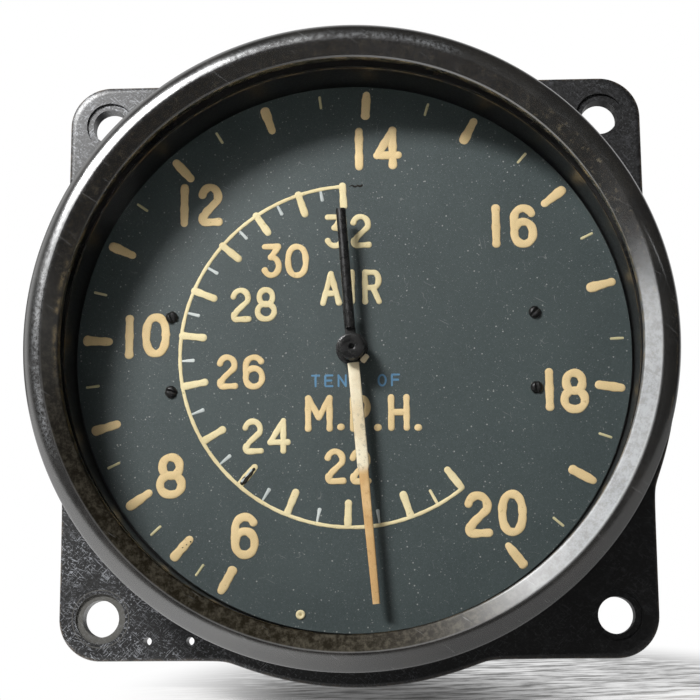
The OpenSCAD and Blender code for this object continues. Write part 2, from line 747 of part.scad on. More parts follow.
module pillar_screws() color([0.6, 0.6, 0.6]) upright() at_pillars() translate([0, 0, dial_back])
    difference() {
        countersink(0);
        translate([-plate_screw_d, -slot_w / 4, -flush_slot_h]) cube([2 * plate_screw_d, slot_w / 2, 1]);
    }

module frame_posts() color([0.78, 0.65, 0.34]) upright() at_pillars() difference() {
    union() {
        rod(pillar_d, rear_in, back_plate_z);
        rod(stud_d, back_plate_z - eps, back_plate_z + stud_l);
    }
    rod(rear_screw_d + 2 * seat_gap, rear_in - 1, rear_in + rear_grip + drill_over);
}

// Four like screws hold the posts and the capsule pillar to the rear wall
module movement_screws() color([0.6, 0.58, 0.5]) upright() {
    at_pillars() rear_screw();
    rear_screw();
}

module rear_screw() translate([0, 0, rear_out]) mirror([0, 0, 1])
    slotted_screw(rear_head_d, rear_head_h, rear_screw_d, rear_wall + rear_grip, slot_w);

module intermediate_wheel() color([0.8, 0.67, 0.36]) upright()
    translate([wheel_at[0], wheel_at[1], wheel_z]) linear_extrude(gear_t) difference() {
        wheel_outline(wheel_teeth, mesh_dir + 180 / wheel_teeth);
        circle(d = arbor_d + 2 * seat_gap);
        for (a = [45:90:315]) rotate(a) translate([wheel_r * 0.56, 0]) circle(d = wheel_r * 0.42);
    }

module intermediate_arbor() color([0.72, 0.72, 0.7]) upright() translate(wheel_at) {
    arbor_body(arbor_d);
    translate([0, 0, pinion_z]) linear_extrude(pinion_l) wheel_outline(pinion_teeth, train_dir);
}

sector_hub_d = 5;

// The sector: a toothed rim on two spokes, with a gap of the teeth on the line to the pinion
module sector_gear() color([0.8, 0.67, 0.36]) upright() translate([sector_at[0], sector_at[1], sector_z])
    linear_extrude(gear_t) difference() {
        union() {
            sector_rim();
            circle(d = sector_hub_d);
            for (a = [pin_dir, 2 * sector_dir - pin_dir - 360]) rotate(a)
                translate([0, -spoke_w / 2]) square([sector_r - tooth_root - sector_rim_w / 2, spoke_w]);
        }
        circle(d = arbor_d + 2 * seat_gap);
        rotate(pin_dir) translate([drive_pin_r, 0]) circle(d = drive_pin_d + 2 * seat_gap);
    }

module sector_rim() {
    step = 360 / sector_teeth;
    root = sector_r - tooth_root;
    first = ceil((sector_dir - sector_half - mesh_dir) / step - 0.5);
    last = floor((sector_dir + sector_half - mesh_dir) / step - 0.5);
    ends = [for (i = [first - 0.5, last + 1.5]) mesh_dir + i * step];
    teeth = [for (i = [first:last]) each tooth_points(sector_teeth, mesh_dir + (i + 0.5) * step)];
    inside = [for (i = [0:10]) polar(root - sector_rim_w, ends[1] + (ends[0] - ends[1]) * i / 10)];
    polygon(concat([polar(root, ends[0])], teeth, [polar(root, ends[1])], inside));
}

module sector_arbor() color([0.72, 0.72, 0.7]) upright() translate(sector_at) arbor_body(arbor_d);

module sector_pin() color([0.72, 0.72, 0.7]) upright() translate(pin_at)
    rod(drive_pin_d, sector_pin_end, sector_z + gear_t);

// Turns a piece about the rocking shaft, from the middle of its swing to rest
module on_shaft() translate([shaft_x, 0, shaft_z]) rotate([0, rock_swing, 0]) children();

// A cylinder along the rocking shaft from y0 up to y1
module shaft_rod(d, y0, y1) translate([0, y0, 0]) rotate([-90, 0, 0]) cylinder(d = d, h = y1 - y0);

module rocking_shaft() color([0.72, 0.72, 0.7]) upright() on_shaft() {
    shaft_rod(shaft_d, low_lug_y + bracket_t / 2 + end_gap, top_lug_y - bracket_t / 2 - end_gap);
    shaft_rod(bracket_pivot_d, low_lug_y - bracket_t / 2, top_lug_y + bracket_t / 2);
}

// The capsule arm reaches across to the dial axis, where the push pin lifts it
module capsule_arm() color([0.8, 0.67, 0.36]) upright() on_shaft() difference() {
    union() {
        shaft_rod(arm_hub_d, -arm_hub_h / 2, arm_hub_h / 2);
        translate([0, -capsule_arm_w / 2, -arm_t / 2]) cube([arm_reach + arm_over, capsule_arm_w, arm_t]);
    }
    shaft_rod(shaft_d + 2 * seat_gap, -arm_hub_h, arm_hub_h);
}

// The drive arm reaches forward and carries the finger that pushes the drive pin
module drive_arm() color([0.8, 0.67, 0.36]) upright() on_shaft() difference() {
    union() {
        translate([0, drive_arm_y, 0]) {
            shaft_rod(arm_hub_d, -arm_t, arm_t);
            translate([-arm_t, -arm_t / 2, 0]) cube([2 * arm_t, arm_t, drive_arm_l]);
            translate([0, 0, drive_arm_l]) shaft_rod(2 * arm_t, -arm_t / 2, arm_t / 2);
        }
        translate([0, 0, drive_arm_l]) shaft_rod(finger_d, drive_arm_y - finger_l, drive_arm_y);
    }
    shaft_rod(shaft_d + 2 * seat_gap, drive_arm_y - 2 * arm_t, drive_arm_y + 2 * arm_t);
}

// One lug of the bracket, with a round end and a pivot hole
module bracket_lug(y) difference() {
    union() {
        translate([shaft_x - lug_w / 2, y - bracket_t / 2, shaft_z])
            cube([lug_w, bracket_t, back_plate_z - shaft_z]);
        translate([shaft_x, 0, shaft_z]) shaft_rod(lug_w, y - bracket_t / 2, y + bracket_t / 2);
    }
    translate([shaft_x, 0, shaft_z])
        shaft_rod(bracket_pivot_d + 2 * pivot_gap, y - bracket_t, y + bracket_t);
}

module shaft_bracket() color([0.78, 0.65, 0.34]) upright() {
    for (y = [low_lug_y, top_lug_y]) bracket_lug(y);
    difference() {
        translate([shaft_x - bracket_w / 2, low_lug_y - bracket_t / 2, back_plate_z - bracket_t])
            cube([bracket_w, top_lug_y - low_lug_y + bracket_t, bracket_t]);
        drive_pin_slot(back_plate_z - bracket_t, back_plate_z);
        at_bracket_screws()
            rod(plate_screw_d + 2 * seat_gap, back_plate_z - bracket_t - 1, back_plate_z + 1);
    }
}

module bracket_screws() color([0.6, 0.6, 0.6]) upright()
    at_bracket_screws() translate([0, 0, back_plate_z - bracket_t]) mirror([0, 0, 1])
        slotted_screw(plate_screw_d * 1.6, bracket_head_h, plate_screw_d, bracket_t + plate_t, slot_w / 2);

// Height of the capsule sheet above the middle of the capsule at radius r
function capsule_height(r) =
    let (rim = capsule_r - capsule_rim_w, u = (rim - r) / (rim - capsule_flat_r))
    u <= 0 ? 0 : u >= 1 ? capsule_t / 2 - capsule_sheet
    : (capsule_t / 2 - capsule_sheet) * pow(u, 0.6) + ripple_h * sin(360 * capsule_ripples * u);

// Section of one rippled half of the capsule, from radius r0 out to the rim
module capsule_half(r0) rotate_extrude() {
    steps = capsule_ripples * 8;
    rim = capsule_r - capsule_rim_w;
    wavy = [for (i = [0:steps]) capsule_flat_r + (rim - capsule_flat_r) * i / steps];
    radii = concat([r0], wavy, [capsule_r]);
    n = len(radii);
    polygon(concat([for (r = radii) [r, capsule_height(r)]],
                   [for (i = [n - 1:-1:0]) [radii[i], capsule_height(radii[i]) + capsule_sheet]]));
}

module capsule_front() color([0.8, 0.68, 0.4]) upright() translate([0, 0, capsule_mid]) capsule_half(0);

module capsule_rear() color([0.8, 0.68, 0.4]) upright() translate([0, 0, capsule_mid])
    mirror([0, 0, 1]) capsule_half(bore_d / 2);

module capsule_boss() color([0.72, 0.72, 0.7]) upright() {
    rod(boss_d, boss_top - boss_t, boss_top);
    rod(push_pin_d, boss_top - eps, ball_z);
    translate([0, 0, ball_z]) sphere(d = push_pin_d);
}

module capsule_pillar() color([0.78, 0.65, 0.34]) upright() difference() {
    rod(capsule_pillar_d, rear_in, capsule_low);
    rod(rear_screw_d + 2 * seat_gap, rear_in - 1, rear_in + rear_grip + drill_over);
    rod(bore_d, tube_run_z, capsule_low + 1);
    translate([0, 0, tube_run_z]) rotate([0, 90, 0])
        rod(tube_d + 2 * seat_gap, capsule_pillar_d / 2 - tube_insert, capsule_pillar_d);
    translate([0, 0, tube_run_z]) rotate([0, 90, 0]) rod(bore_d, 0, capsule_pillar_d);
}

// Path of the pressure tube as one solid of diameter d: out of the union, round the bend and across
module tube_path(d, extra) {
    low = union_top - tube_seat;
    bend_z = tube_run_z - tube_bend;
    translate([union_x, 0, 0]) rod(d, low - extra, bend_z);
    translate([union_x - tube_bend, 0, bend_z]) rotate([90, 0, 0]) rotate_extrude(angle = 90)
        translate([tube_bend, 0]) circle(d = d);
    translate([0, 0, tube_run_z]) rotate([0, 90, 0])
        rod(d, capsule_pillar_d / 2 - tube_insert - extra, union_x - tube_bend);
}

module pressure_tube() color([0.72, 0.45, 0.3]) upright() difference() {
    tube_path(tube_d, 0);
    tube_path(tube_d - 2 * tube_wall, 1);
}

// A pipe union: thread and hexagon behind the wall, and a stem through it
module pipe_union(top_bore) {
    hex_top = rear_out - washer_t;
    hex_low = hex_top - union_hex_t;
    end = hex_low - union_thread_l;
    difference() {
        union() {
            translate([0, 0, hex_low]) rotate(30)
                cylinder(d = union_hex_w / cos(30), h = union_hex_t, $fn = 6);
            rod(union_thread_d, end, hex_low + eps);
            rod(union_stem_d, hex_top - eps, union_top);
        }
        rod(union_bore_d, end - 1, union_top - tube_seat);
        rod(top_bore, union_top - tube_seat - eps, union_top + 1);
    }
}

module pitot_union() color([0.7, 0.62, 0.4]) upright() translate([union_x, 0, 0])
    pipe_union(tube_d + 2 * seat_gap);

module static_union() color([0.7, 0.62, 0.4]) upright() translate([-union_x, 0, 0])
    pipe_union(union_bore_d);

module union_washers() color([0.45, 0.3, 0.22]) upright() for (x = [-union_x, union_x]) translate([x, 0, 0])
    difference() {
        rod(union_hex_w - 0.6, rear_out - washer_t, rear_out);
        rod(union_stem_d + 2 * seat_gap, rear_out - washer_t - 1, rear_out + 1);
    }

module union_nuts() color([0.7, 0.62, 0.4]) upright()
    for (x = [-union_x, union_x]) translate([x, 0, rear_in]) difference() {
        rotate(30) cylinder(d = union_nut_w / cos(30), h = union_nut_t, $fn = 6);
        rod(union_stem_d + 2 * seat_gap, -1, union_nut_t + 1);
    }

case();
bezel_ring();
glass();
glass_gasket();
dial();
scale_marks();
dial_screws();
pointer();
pointer_tail();
pointer_hub();
pointer_arbor();
hairspring();
hairspring_collet();
hairspring_stud();
front_plate();
back_plate();
plate_pillars();
pillar_screws();
frame_posts();
movement_screws();
intermediate_wheel();
intermediate_arbor();
sector_gear();
sector_arbor();
sector_pin();
rocking_shaft();
capsule_arm();
drive_arm();
shaft_bracket();
bracket_screws();
capsule_front();
capsule_rear();
capsule_boss();
capsule_pillar();
pressure_tube();
pitot_union();
static_union();
union_washers();
union_nuts();
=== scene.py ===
# %% [markdown]
# A panel airspeed indicator, dressed for its portrait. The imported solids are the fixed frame: every piece
# made here lies where they lie and rides on one of their bodies. Sizes below are in millimetres, with x
# to the right, "up" towards the top of the dial and "out" of the panel towards the pilot. One helper
# turns them into Blender's metres.

import bmesh
import bpy
import numpy as np
from mathutils import Matrix


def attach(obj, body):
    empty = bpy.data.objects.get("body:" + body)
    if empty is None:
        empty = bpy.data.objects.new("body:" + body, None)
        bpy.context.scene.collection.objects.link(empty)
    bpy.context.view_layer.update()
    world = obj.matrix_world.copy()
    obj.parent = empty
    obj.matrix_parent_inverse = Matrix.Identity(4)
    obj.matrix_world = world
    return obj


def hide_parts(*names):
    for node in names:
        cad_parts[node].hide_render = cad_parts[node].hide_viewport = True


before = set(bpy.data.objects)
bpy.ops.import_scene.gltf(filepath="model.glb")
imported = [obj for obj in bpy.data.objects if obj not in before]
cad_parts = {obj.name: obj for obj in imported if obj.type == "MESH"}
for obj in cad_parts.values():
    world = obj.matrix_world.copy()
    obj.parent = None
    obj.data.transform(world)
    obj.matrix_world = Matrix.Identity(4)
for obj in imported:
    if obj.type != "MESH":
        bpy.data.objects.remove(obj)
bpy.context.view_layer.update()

# %% [markdown]
# A few sizes are shared by several pieces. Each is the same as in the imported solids.

# %% Shared sizes
MM = 0.001
DIAL = 7.8
FLANGE_T, BULGE_R, CORNER_AT = 3.0, 43.5, 34.3
REAR_OUT, REAR_IN, BODY_R, UNION_X = -61.035, -56.035, 36.6, 16.0
REST = np.radians(175.0)
WHITE = (1.0, 1.0, 1.0, 1.0)
print("dial face", DIAL, "mm out, flange", FLANGE_T, "mm thick, rear wall", REAR_OUT, "mm out")

# %% [markdown]
# Every new surface is a grid of points, worked out as whole arrays. A grid can wrap round in either
# direction, as a tube or a ring does. The quads come from index arithmetic, rows that shrink to a point
# are merged so that poles are closed, and the normals are made to face outwards at the end.

# %% Helpers for grids
def part_points(x, up, out):
    """Points in metres in the part's frame: x stays, up the dial is Z, and out of the panel is minus Y."""
    x, up, out = np.broadcast_arrays(x, up, out)
    return np.stack([x, -out, up], axis=-1) * MM


def circle(count):
    """Angles of evenly spaced points round a circle, counter-clockwise from the right."""
    return np.linspace(0, 2 * np.pi, count, endpoint=False)


def grid(points, wrap_rows=False, wrap_cols=True, **marks):
    """A grid surface: its points in a row, its quads, and named numbers for its points."""
    rows, cols = points.shape[:2]
    r = np.arange(rows if wrap_rows else rows - 1)
    c = np.arange(cols if wrap_cols else cols - 1)
    r, c = np.meshgrid(r, c, indexing="ij")
    r1, c1 = (r + 1) % rows, (c + 1) % cols
    quads = np.stack([r * cols + c, r1 * cols + c, r1 * cols + c1, r * cols + c1], axis=-1).reshape(-1, 4)
    flat = {name: np.broadcast_to(value, (rows, cols)).ravel() for name, value in marks.items()}
    return points.reshape(-1, 3), quads, flat


def mesh_of(name, grids):
    """One mesh from several grids, with poles closed and faces outwards."""
    starts = np.cumsum([0] + [len(g[0]) for g in grids[:-1]])
    points = np.concatenate([g[0] for g in grids]).astype(np.float32)
    quads = np.concatenate([g[1] + s for g, s in zip(grids, starts)]).astype(np.int32)
    mesh = bpy.data.meshes.new(name)
    mesh.vertices.add(len(points))
    mesh.vertices.foreach_set("co", points.ravel())
    mesh.loops.add(quads.size)
    mesh.loops.foreach_set("vertex_index", quads.ravel())
    mesh.polygons.add(len(quads))
    mesh.polygons.foreach_set("loop_start", np.arange(0, quads.size, 4, dtype=np.int32))
    mesh.update(calc_edges=True)
    for label in grids[0][2]:
        values = np.concatenate([g[2][label] for g in grids]).astype(np.float32)
        mesh.attributes.new(label, "FLOAT", "POINT").data.foreach_set("value", values)
    work = bmesh.new()
    work.from_mesh(mesh)
    bmesh.ops.remove_doubles(work, verts=work.verts, dist=2e-7)
    bmesh.ops.recalc_face_normals(work, faces=work.faces)
    work.to_mesh(mesh)
    work.free()
    return mesh


def add_object(name, data):
    """A new object in the scene."""
    thing = bpy.data.objects.new(name, data)
    bpy.context.scene.collection.objects.link(thing)
    return thing


def add_piece(name, grids, body, nodes, material, sharp=40):
    """A finished piece: it rides on a body, stands for some solids and takes one material."""
    mesh = mesh_of(name, grids)
    mesh.shade_smooth()
    mesh.set_sharp_from_angle(angle=np.radians(sharp))
    mesh.materials.append(material)
    piece = add_object(name, mesh)
    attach(piece, body)
    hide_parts(*nodes)
    print(name, "has", len(mesh.polygons), "faces on", body)
    return piece


# %% [markdown]
# A turned piece, such as the bezel or the hub, is a profile carried round the dial axis. The profile may
# close on itself, as a ring's does, or start and end on the axis, as a knob's does. Corners get a small
# round so that they catch the light.

# %% Helpers for turned pieces
def rounded(corners, radius, steps=4):
    """Points of a polygon whose corners are rounded: each corner is a short curve between two points near it,
    (1-t)^2 a + 2t(1-t) corner + t^2 b."""
    c = np.asarray(corners, float)
    before, after = np.roll(c, 1, axis=0) - c, np.roll(c, -1, axis=0) - c
    la, lb = np.linalg.norm(before, axis=1, keepdims=True), np.linalg.norm(after, axis=1, keepdims=True)
    reach = np.minimum(radius, 0.45 * np.minimum(la, lb))
    a, b = c + before / la * reach, c + after / lb * reach
    t = np.linspace(0, 1, steps).reshape(1, -1, 1)
    curve = (1 - t) ** 2 * a[:, None] + 2 * t * (1 - t) * c[:, None] + t**2 * b[:, None]
    return curve.reshape(-1, 2)


def turned(profile, around, centre=(0.0, 0.0), closed=True, **marks):
    """A profile of (radius, out) points carried round an axis that stands out of the dial at centre:
    x = cx + r cos a, up = cy + r sin a."""
    a = circle(around)
    r, out = profile[:, :1], profile[:, 1:]
    points = part_points(centre[0] + r * np.cos(a), centre[1] + r * np.sin(a), out)
    return grid(points, wrap_rows=closed, **marks)


# %% [markdown]
# Materials are small node trees. Small helpers keep them readable, and each finds its tree from the
# values that it gets. All patterns read Object coordinates in metres, so a scale of 1000 means features
# of about one millimetre. A colour or a roughness that is the same all over is set on the shader itself.

# %% Helpers for materials
def link(value, socket):
    """Links a value to the input of a node in the same tree."""
    socket.id_data.links.new(value, socket)


def add_node(kind, inputs, settings=None, output=0):
    """Adds a node to the tree of the first value linked to it, sets its settings, then links or sets each
    input; returns one of its outputs."""
    tree = next(value.id_data for value in inputs.values() if isinstance(value, bpy.types.NodeSocket))
    made = tree.nodes.new(kind)
    for name, value in (settings or {}).items():
        setattr(made, name, value)
    for name, value in inputs.items():
        if isinstance(value, bpy.types.NodeSocket):
            link(value, made.inputs[name])
        else:
            made.inputs[name].default_value = value
    return made.outputs[output]


def noise(where, scale, detail=3.0, rough=0.55, stretch=None):
    """A noise value near 0.5; stretch is a turn and how long the pattern becomes along its own three axes."""
    if stretch:
        turn, size = stretch
        inputs = {"Vector": where, "Rotation": turn, "Scale": size}
        where = add_node("ShaderNodeMapping", inputs, {"vector_type": "TEXTURE"})
    inputs = {"Vector": where, "Scale": scale, "Detail": detail, "Roughness": rough}
    return add_node("ShaderNodeTexNoise", inputs)


def ramp(value, low, high, to_low=0.0, to_high=1.0):
    """Moves a value smoothly from to_low at low to to_high at high."""
    inputs = {"Value": value, "From Min": low, "From Max": high, "To Min": to_low, "To Max": to_high}
    return add_node("ShaderNodeMapRange", inputs, {"interpolation_type": "SMOOTHSTEP"})


def maths(how, a, b=0.0):
    """One arithmetic step between two values."""
    return add_node("ShaderNodeMath", {0: a, 1: b}, {"operation": how})


def times(a, b):
    """The product of two values."""
    return maths("MULTIPLY", a, b)


def most(a, b):
    """The larger of two values."""
    return maths("MAXIMUM", a, b)


def mix(share, a, b):
    """A colour that goes from a to b as share goes from 0 to 1."""
    a, b = (v if isinstance(v, bpy.types.NodeSocket) else (*v, 1.0) for v in (a, b))
    return add_node("ShaderNodeMix", {0: share, 6: a, 7: b}, {"data_type": "RGBA"}, output=2)


def hairs(where, scale, few, thin=0.01):
    """Short curved hairs: thin lines where a noise crosses its middle, kept where a second noise is high."""
    away = maths("ABSOLUTE", maths("SUBTRACT", noise(where, scale, 1), 0.5))
    kept = ramp(noise(where, 0.62 * scale, 1), few, few + 0.05)
    return times(ramp(away, 0.4 * thin, thin, 1, 0), kept)


def mark_value(where, name):
    """The value of one of the piece's own point marks, in the tree that where belongs to."""
    made = where.id_data.nodes.new("ShaderNodeAttribute")
    made.attribute_name = name
    return made.outputs["Fac"]


def patchy(where, mark, grain, low, high, weak=0.0, strong=1.0):
    """A point mark broken up by a noise: the mark times a noise that goes from weak at low to strong at high.
    The grain is the noise's scale, detail and roughness."""
    return times(mark_value(where, mark), ramp(noise(where, *grain), low, high, weak, strong))


def distance_from(where, place, keep):
    """Distance in metres from a place, counted along the axes that keep marks with a 1."""
    inputs = {"Vector": where, "Location": tuple(-c for c in place), "Scale": keep}
    moved = add_node("ShaderNodeMapping", inputs)
    return add_node("ShaderNodeVectorMath", {0: moved}, {"operation": "LENGTH"}, output=1)


def axis(where, which):
    """One coordinate of a place: 0 is x, 1 is y and 2 is z."""
    return add_node("ShaderNodeSeparateXYZ", {"Vector": where}, output=which)


def finish(name, metallic=0.0, specular=0.5, roughness=0.5, colour=(0.5, 0.5, 0.5)):
    """A material with one principled shader; returns it, its shader and the Object coordinates."""
    material = bpy.data.materials.new(name)
    material.use_nodes = True
    shader = material.node_tree.nodes["Principled BSDF"]
    values = {"Metallic": metallic, "Specular IOR Level": specular, "Roughness": roughness}
    for name, value in {**values, "Base Color": (*colour, 1.0)}.items():
        shader.inputs[name].default_value = value
    return material, shader, material.node_tree.nodes.new("ShaderNodeTexCoord").outputs["Object"]


def feed(shader, colour=None, roughness=None, height=None, bump=0.1, reach=0.0001):
    """Links a colour, a roughness and a bump height to the shader."""
    normal = None
    if height is not None:
        normal = add_node("ShaderNodeBump", {"Height": height, "Strength": bump, "Distance": reach})
    for name, value in (("Base Color", colour), ("Roughness", roughness), ("Normal", normal)):
        if value is not None:
            link(value, shader.inputs[name])


# %% [markdown]
# The camera stands a little below the dial axis and looks slightly up at it. Its place was found by
# matching the flange holes, the bezel circles and the scale marks of the picture: a long lens about 220
# mm away. The three turns are about the x, z and y axes in that order, and the camera's own axes are the
# rows of that turn.

# %% Camera
pitch, yaw, roll = -0.1796, -0.0410, -0.0143
aside, distance, above = 0.702, 222.939, -1.668


def put(thing, columns):
    """Sets where a camera or a lamp stands; the columns are its three axes and its place."""
    thing.matrix_world = Matrix(np.vstack([np.column_stack(columns), [0, 0, 0, 1]]).tolist())


turn = Matrix.Rotation(roll, 3, "Y") @ Matrix.Rotation(yaw, 3, "Z") @ Matrix.Rotation(pitch, 3, "X")
right, forward, upward = (np.array(turn[i]) for i in range(3))
eye = -(right * aside + forward * distance + upward * above) * MM
camera = add_object("camera", bpy.data.cameras.new("camera"))
camera.data.lens, camera.data.sensor_width, camera.data.clip_start = 84.07, 36.0, 0.01
put(camera, [right, upward, -forward, eye])
bpy.context.scene.camera = camera
print("camera at", eye.round(4))

# %% [markdown]
# One soft box stands at the upper left in front, which puts the soft crescent of shade under the bezel on
# the left and at the top. A weak window beside it gives the sheen on the upper left of the flange.

# %% Lamps
def add_lamp(name, toward, away, shape, width, height, watts):
    """An area lamp that stands away from the dial in a direction and faces it."""
    toward = np.array(toward) / np.linalg.norm(toward)
    data = bpy.data.lights.new(name, "AREA")
    data.shape, data.size, data.size_y, data.energy = shape, width, height, watts
    lamp = add_object(name, data)
    side = np.cross([0.0, 0.0, 1.0], toward)
    side /= np.linalg.norm(side)
    put(lamp, [side, np.cross(toward, side), toward, toward * away])
    print(name, "gives", watts, "W")


add_lamp("soft_box", (-0.475, -0.77, 0.568), away=0.5, shape="ELLIPSE", width=0.16, height=0.085, watts=3.05)
add_lamp("window", (-0.34, -0.86, 0.37), away=0.9, shape="RECTANGLE", width=0.3, height=0.2, watts=0.42)

# %% [markdown]
# The world adds a weak even light. What the camera sees of it is plain white. Gloss sees a white band to
# the left and below, and a dim room in front, to the right and straight behind, so that the black lacquer
# keeps its depth.

# %% World
even_light, room, straight_behind = 0.085, 0.05, 0.15
toward_white = (-0.45, 1.0, -0.3)
world = bpy.data.worlds.new("studio")
world.use_nodes = True
bpy.context.scene.world = world
sky = world.node_tree
even = sky.nodes["Background"]
even.inputs["Color"].default_value = WHITE
even.inputs["Strength"].default_value = even_light
path = sky.nodes.new("ShaderNodeLightPath").outputs
heading = sky.nodes.new("ShaderNodeTexCoord").outputs["Generated"]
inputs = {0: heading, 1: toward_white}
facing = add_node("ShaderNodeVectorMath", inputs, {"operation": "DOT_PRODUCT"}, output=1)
bright = times(ramp(facing, -0.35, 0.3, room, 1), ramp(facing, 0.5, 0.95, 1, straight_behind))
bright = most(bright, path["Is Camera Ray"])
white = add_node("ShaderNodeBackground", {"Color": WHITE, "Strength": bright})
seen = most(path["Is Camera Ray"], path["Is Glossy Ray"])
seen = most(seen, path["Is Transmission Ray"])
both = add_node("ShaderNodeMixShader", {0: seen, 1: even.outputs[0], 2: white})
link(both, sky.nodes["World Output"].inputs["Surface"])
bpy.context.scene.view_settings.view_transform = "Standard"
print("even light", even_light)

# %% [markdown]
# The instrument stands on the lower edge of its flange and on the rear edge of its body, so seen in its
# own frame the floor slopes by about 7 degrees. The floor is pale and streaky, keeps the shadow near the
# instrument, and turns to the plain white of the background further away. Gloss sees it as plain light
# with a painted shadow: dimmer on the right, where the instrument's own shadow falls on the floor.

# %% Floor
gap, rear_touch = 0.02, 57.0
floor_slope = (BULGE_R - BODY_R) / (rear_touch - FLANGE_T)
across, deep = np.meshgrid(np.linspace(-700, 700, 57), np.linspace(-420, 900, 67))
floor_up = -BULGE_R - gap + floor_slope * (deep - FLANGE_T)
floor_grid = grid(part_points(across, floor_up, -deep), wrap_cols=False)
floor = add_object("floor", mesh_of("floor", [floor_grid]))
floor_paint, shader, where = finish("pale_floor", specular=0.05, roughness=0.9)
streaks = noise(where, 620, 5, 0.66, ((0, 0, 0.16), (3.8, 0.8, 1)))
feed(shader, mix(ramp(streaks, 0.35, 0.7), (0.5, 0.485, 0.465), (0.9, 0.895, 0.885)))
on_floor = (1, 1, 0)
from_contact = distance_from(where, (0.002, -0.008, 0.0), on_floor)
from_shadow = distance_from(where, (0.018, 0.002, 0.0), on_floor)
grain = times(ramp(streaks, 0.36, 0.62, 0.22, 0.8), ramp(from_contact, 0.008, 0.035, 0.2, 1))
plain = most(ramp(from_shadow, 0.02, 0.052), grain)
tree = floor_paint.node_tree
path = tree.nodes.new("ShaderNodeLightPath").outputs
seen = most(path["Is Camera Ray"], path["Is Transmission Ray"])
plain = most(times(plain, seen), path["Is Glossy Ray"])
# Painted shadow in the floor's reflection: for gloss the floor glows dimmer on the right, where the
# instrument's shadow falls on it.
strength = most(seen, ramp(axis(where, 0), -0.035, 0.02, 0.95, 0.28))
glow = add_node("ShaderNodeEmission", {"Color": WHITE, "Strength": strength})
shown = add_node("ShaderNodeMixShader", {0: plain, 1: shader.outputs[0], 2: glow})
link(shown, tree.nodes["Material Output"].inputs["Surface"])
floor.data.materials.append(floor_paint)
print("floor slopes", round(float(np.degrees(np.arctan(floor_slope))), 2), "degrees")

# %% [markdown]
# The case is a black phenolic moulding. Its surface is matt and full of fine pale specks and handling
# scratches, mostly on the left, and its edges have worn to a brownish grey. Three point marks of the mesh
# guide the finish: "edge" and "rim" put the wear exactly on the flange edges and on the rim under the
# glass, and the third paints shade on the wall of the recess below that rim: near black brown, with few
# specks, as that wall lies in shadow. The spot face of the lower left hole, where a bolt head has turned,
# is picked out by its distance from the hole.

# %% Case finish
case_paint, shader, where = finish("case_phenolic", roughness=0.36)
shader.inputs["IOR"].default_value = 1.58
cloud = noise(where, 90, 4)
fine = noise(where, 2600, 2, 0.7)
body = mix(ramp(cloud, 0.35, 0.7), (0.0045, 0.0044, 0.0047), (0.0095, 0.0093, 0.0095))
dull = ramp(noise(where, 700, 4, 0.75), 0.5, 0.66, 0, 0.8)
rubbed = mix(dull, body, (0.026, 0.026, 0.029))
body = mix(ramp(cloud, 0.38, 0.55), body, rubbed)
marks = ramp(noise(where, 3000, 2, 0.7), 0.57, 0.66)
for turn_by, long in ((0.78, 3.2), (-0.8, 2.4), (0.3, 2.0)):
    scratch = noise(where, 1300, 2, 0.6, ((0, turn_by, 0), (long, 1, 0.2)))
    marks = most(marks, ramp(scratch, 0.6, 0.68))
marks = most(marks, hairs(where, 900, 0.58, 0.02))
marks = times(marks, ramp(noise(where, 210, 4, 0.65), 0.36, 0.56, 0.3, 1))
marks = times(marks, ramp(axis(where, 0), -0.03, 0.03, 1, 0.15))
# Painted shade: the wall of the recess below the rim keeps few specks and is made near black brown.
well = mark_value(where, "well")
marks = times(marks, ramp(well, 0, 1, 1, 0.1))
body = mix(marks, body, (0.26, 0.27, 0.29))
body = mix(times(well, 0.8), body, (0.0028, 0.0024, 0.0019))
body = mix(patchy(where, "edge", (900, 4, 0.75), 0.42, 0.6), body, (0.12, 0.094, 0.07))
body = mix(patchy(where, "rim", (380, 4, 0.7), 0.4, 0.6), body, (0.30, 0.20, 0.085))
from_hole = distance_from(where, (-MM * CORNER_AT, 0.0, -MM * CORNER_AT), (1, 0, 1))
turns = maths("SINE", times(from_hole, 12000))
ring = ramp(from_hole, 0.0039, 0.0041, 1, 0)
ring = times(ring, ramp(turns, 0.4, 1, 0, 0.7))
ring = most(ring, ramp(from_hole, 0.0032, 0.0033, 0.85, 0))
body = mix(ring, body, (0.10, 0.097, 0.088))
feed(shader, body, ramp(fine, 0.3, 0.7, 0.31, 0.42), fine, 0.2, 0.00005)
print("case finish has", len(case_paint.node_tree.nodes), "nodes")

# %% [markdown]
# The flange is a square with round corners, crossed by a round bulge. Seen from the dial axis its outline
# is one radius for each angle, the larger of the two shapes. So the whole case is a single surface: a
# profile carried round the axis, in which the flange rows stretch out to the outline. Its holes are cut
# in the next step.

# %% Case
half, corner_r, fillet, case_sharp = 39.9, 5.6, 0.2, 32
rear_round, neck_r, seat_r, well_r, bore_r = 4.0, 41.125, 39.225, 36.825, 34.0
well_floor, neck_top, rim_top = 6.8, 8.0, 14.6


def flange_radius(angle):
    """Radius of the flange outline: the larger of a square with round corners and the bulge circle,
    blended by (a + b + sqrt((a-b)^2 + fillet)) / 2 so that the two meet in a small round."""
    c, s = np.abs(np.cos(angle)), np.abs(np.sin(angle))
    c, s = np.maximum(c, s), np.minimum(c, s)
    edge = half / c
    reach = CORNER_AT * (c + s)
    corner = reach + np.sqrt(np.maximum(reach**2 - 2 * CORNER_AT**2 + corner_r**2, 0.0))
    square = np.where(edge * s <= CORNER_AT, edge, corner)
    return (square + BULGE_R + np.sqrt((square - BULGE_R) ** 2 + fillet)) / 2


def round_rows(*points):
    """Rows that stay round, from (radius, out) points: no share of the flange outline and no inset."""
    return [(r, out, 0, 0) for r, out in points]


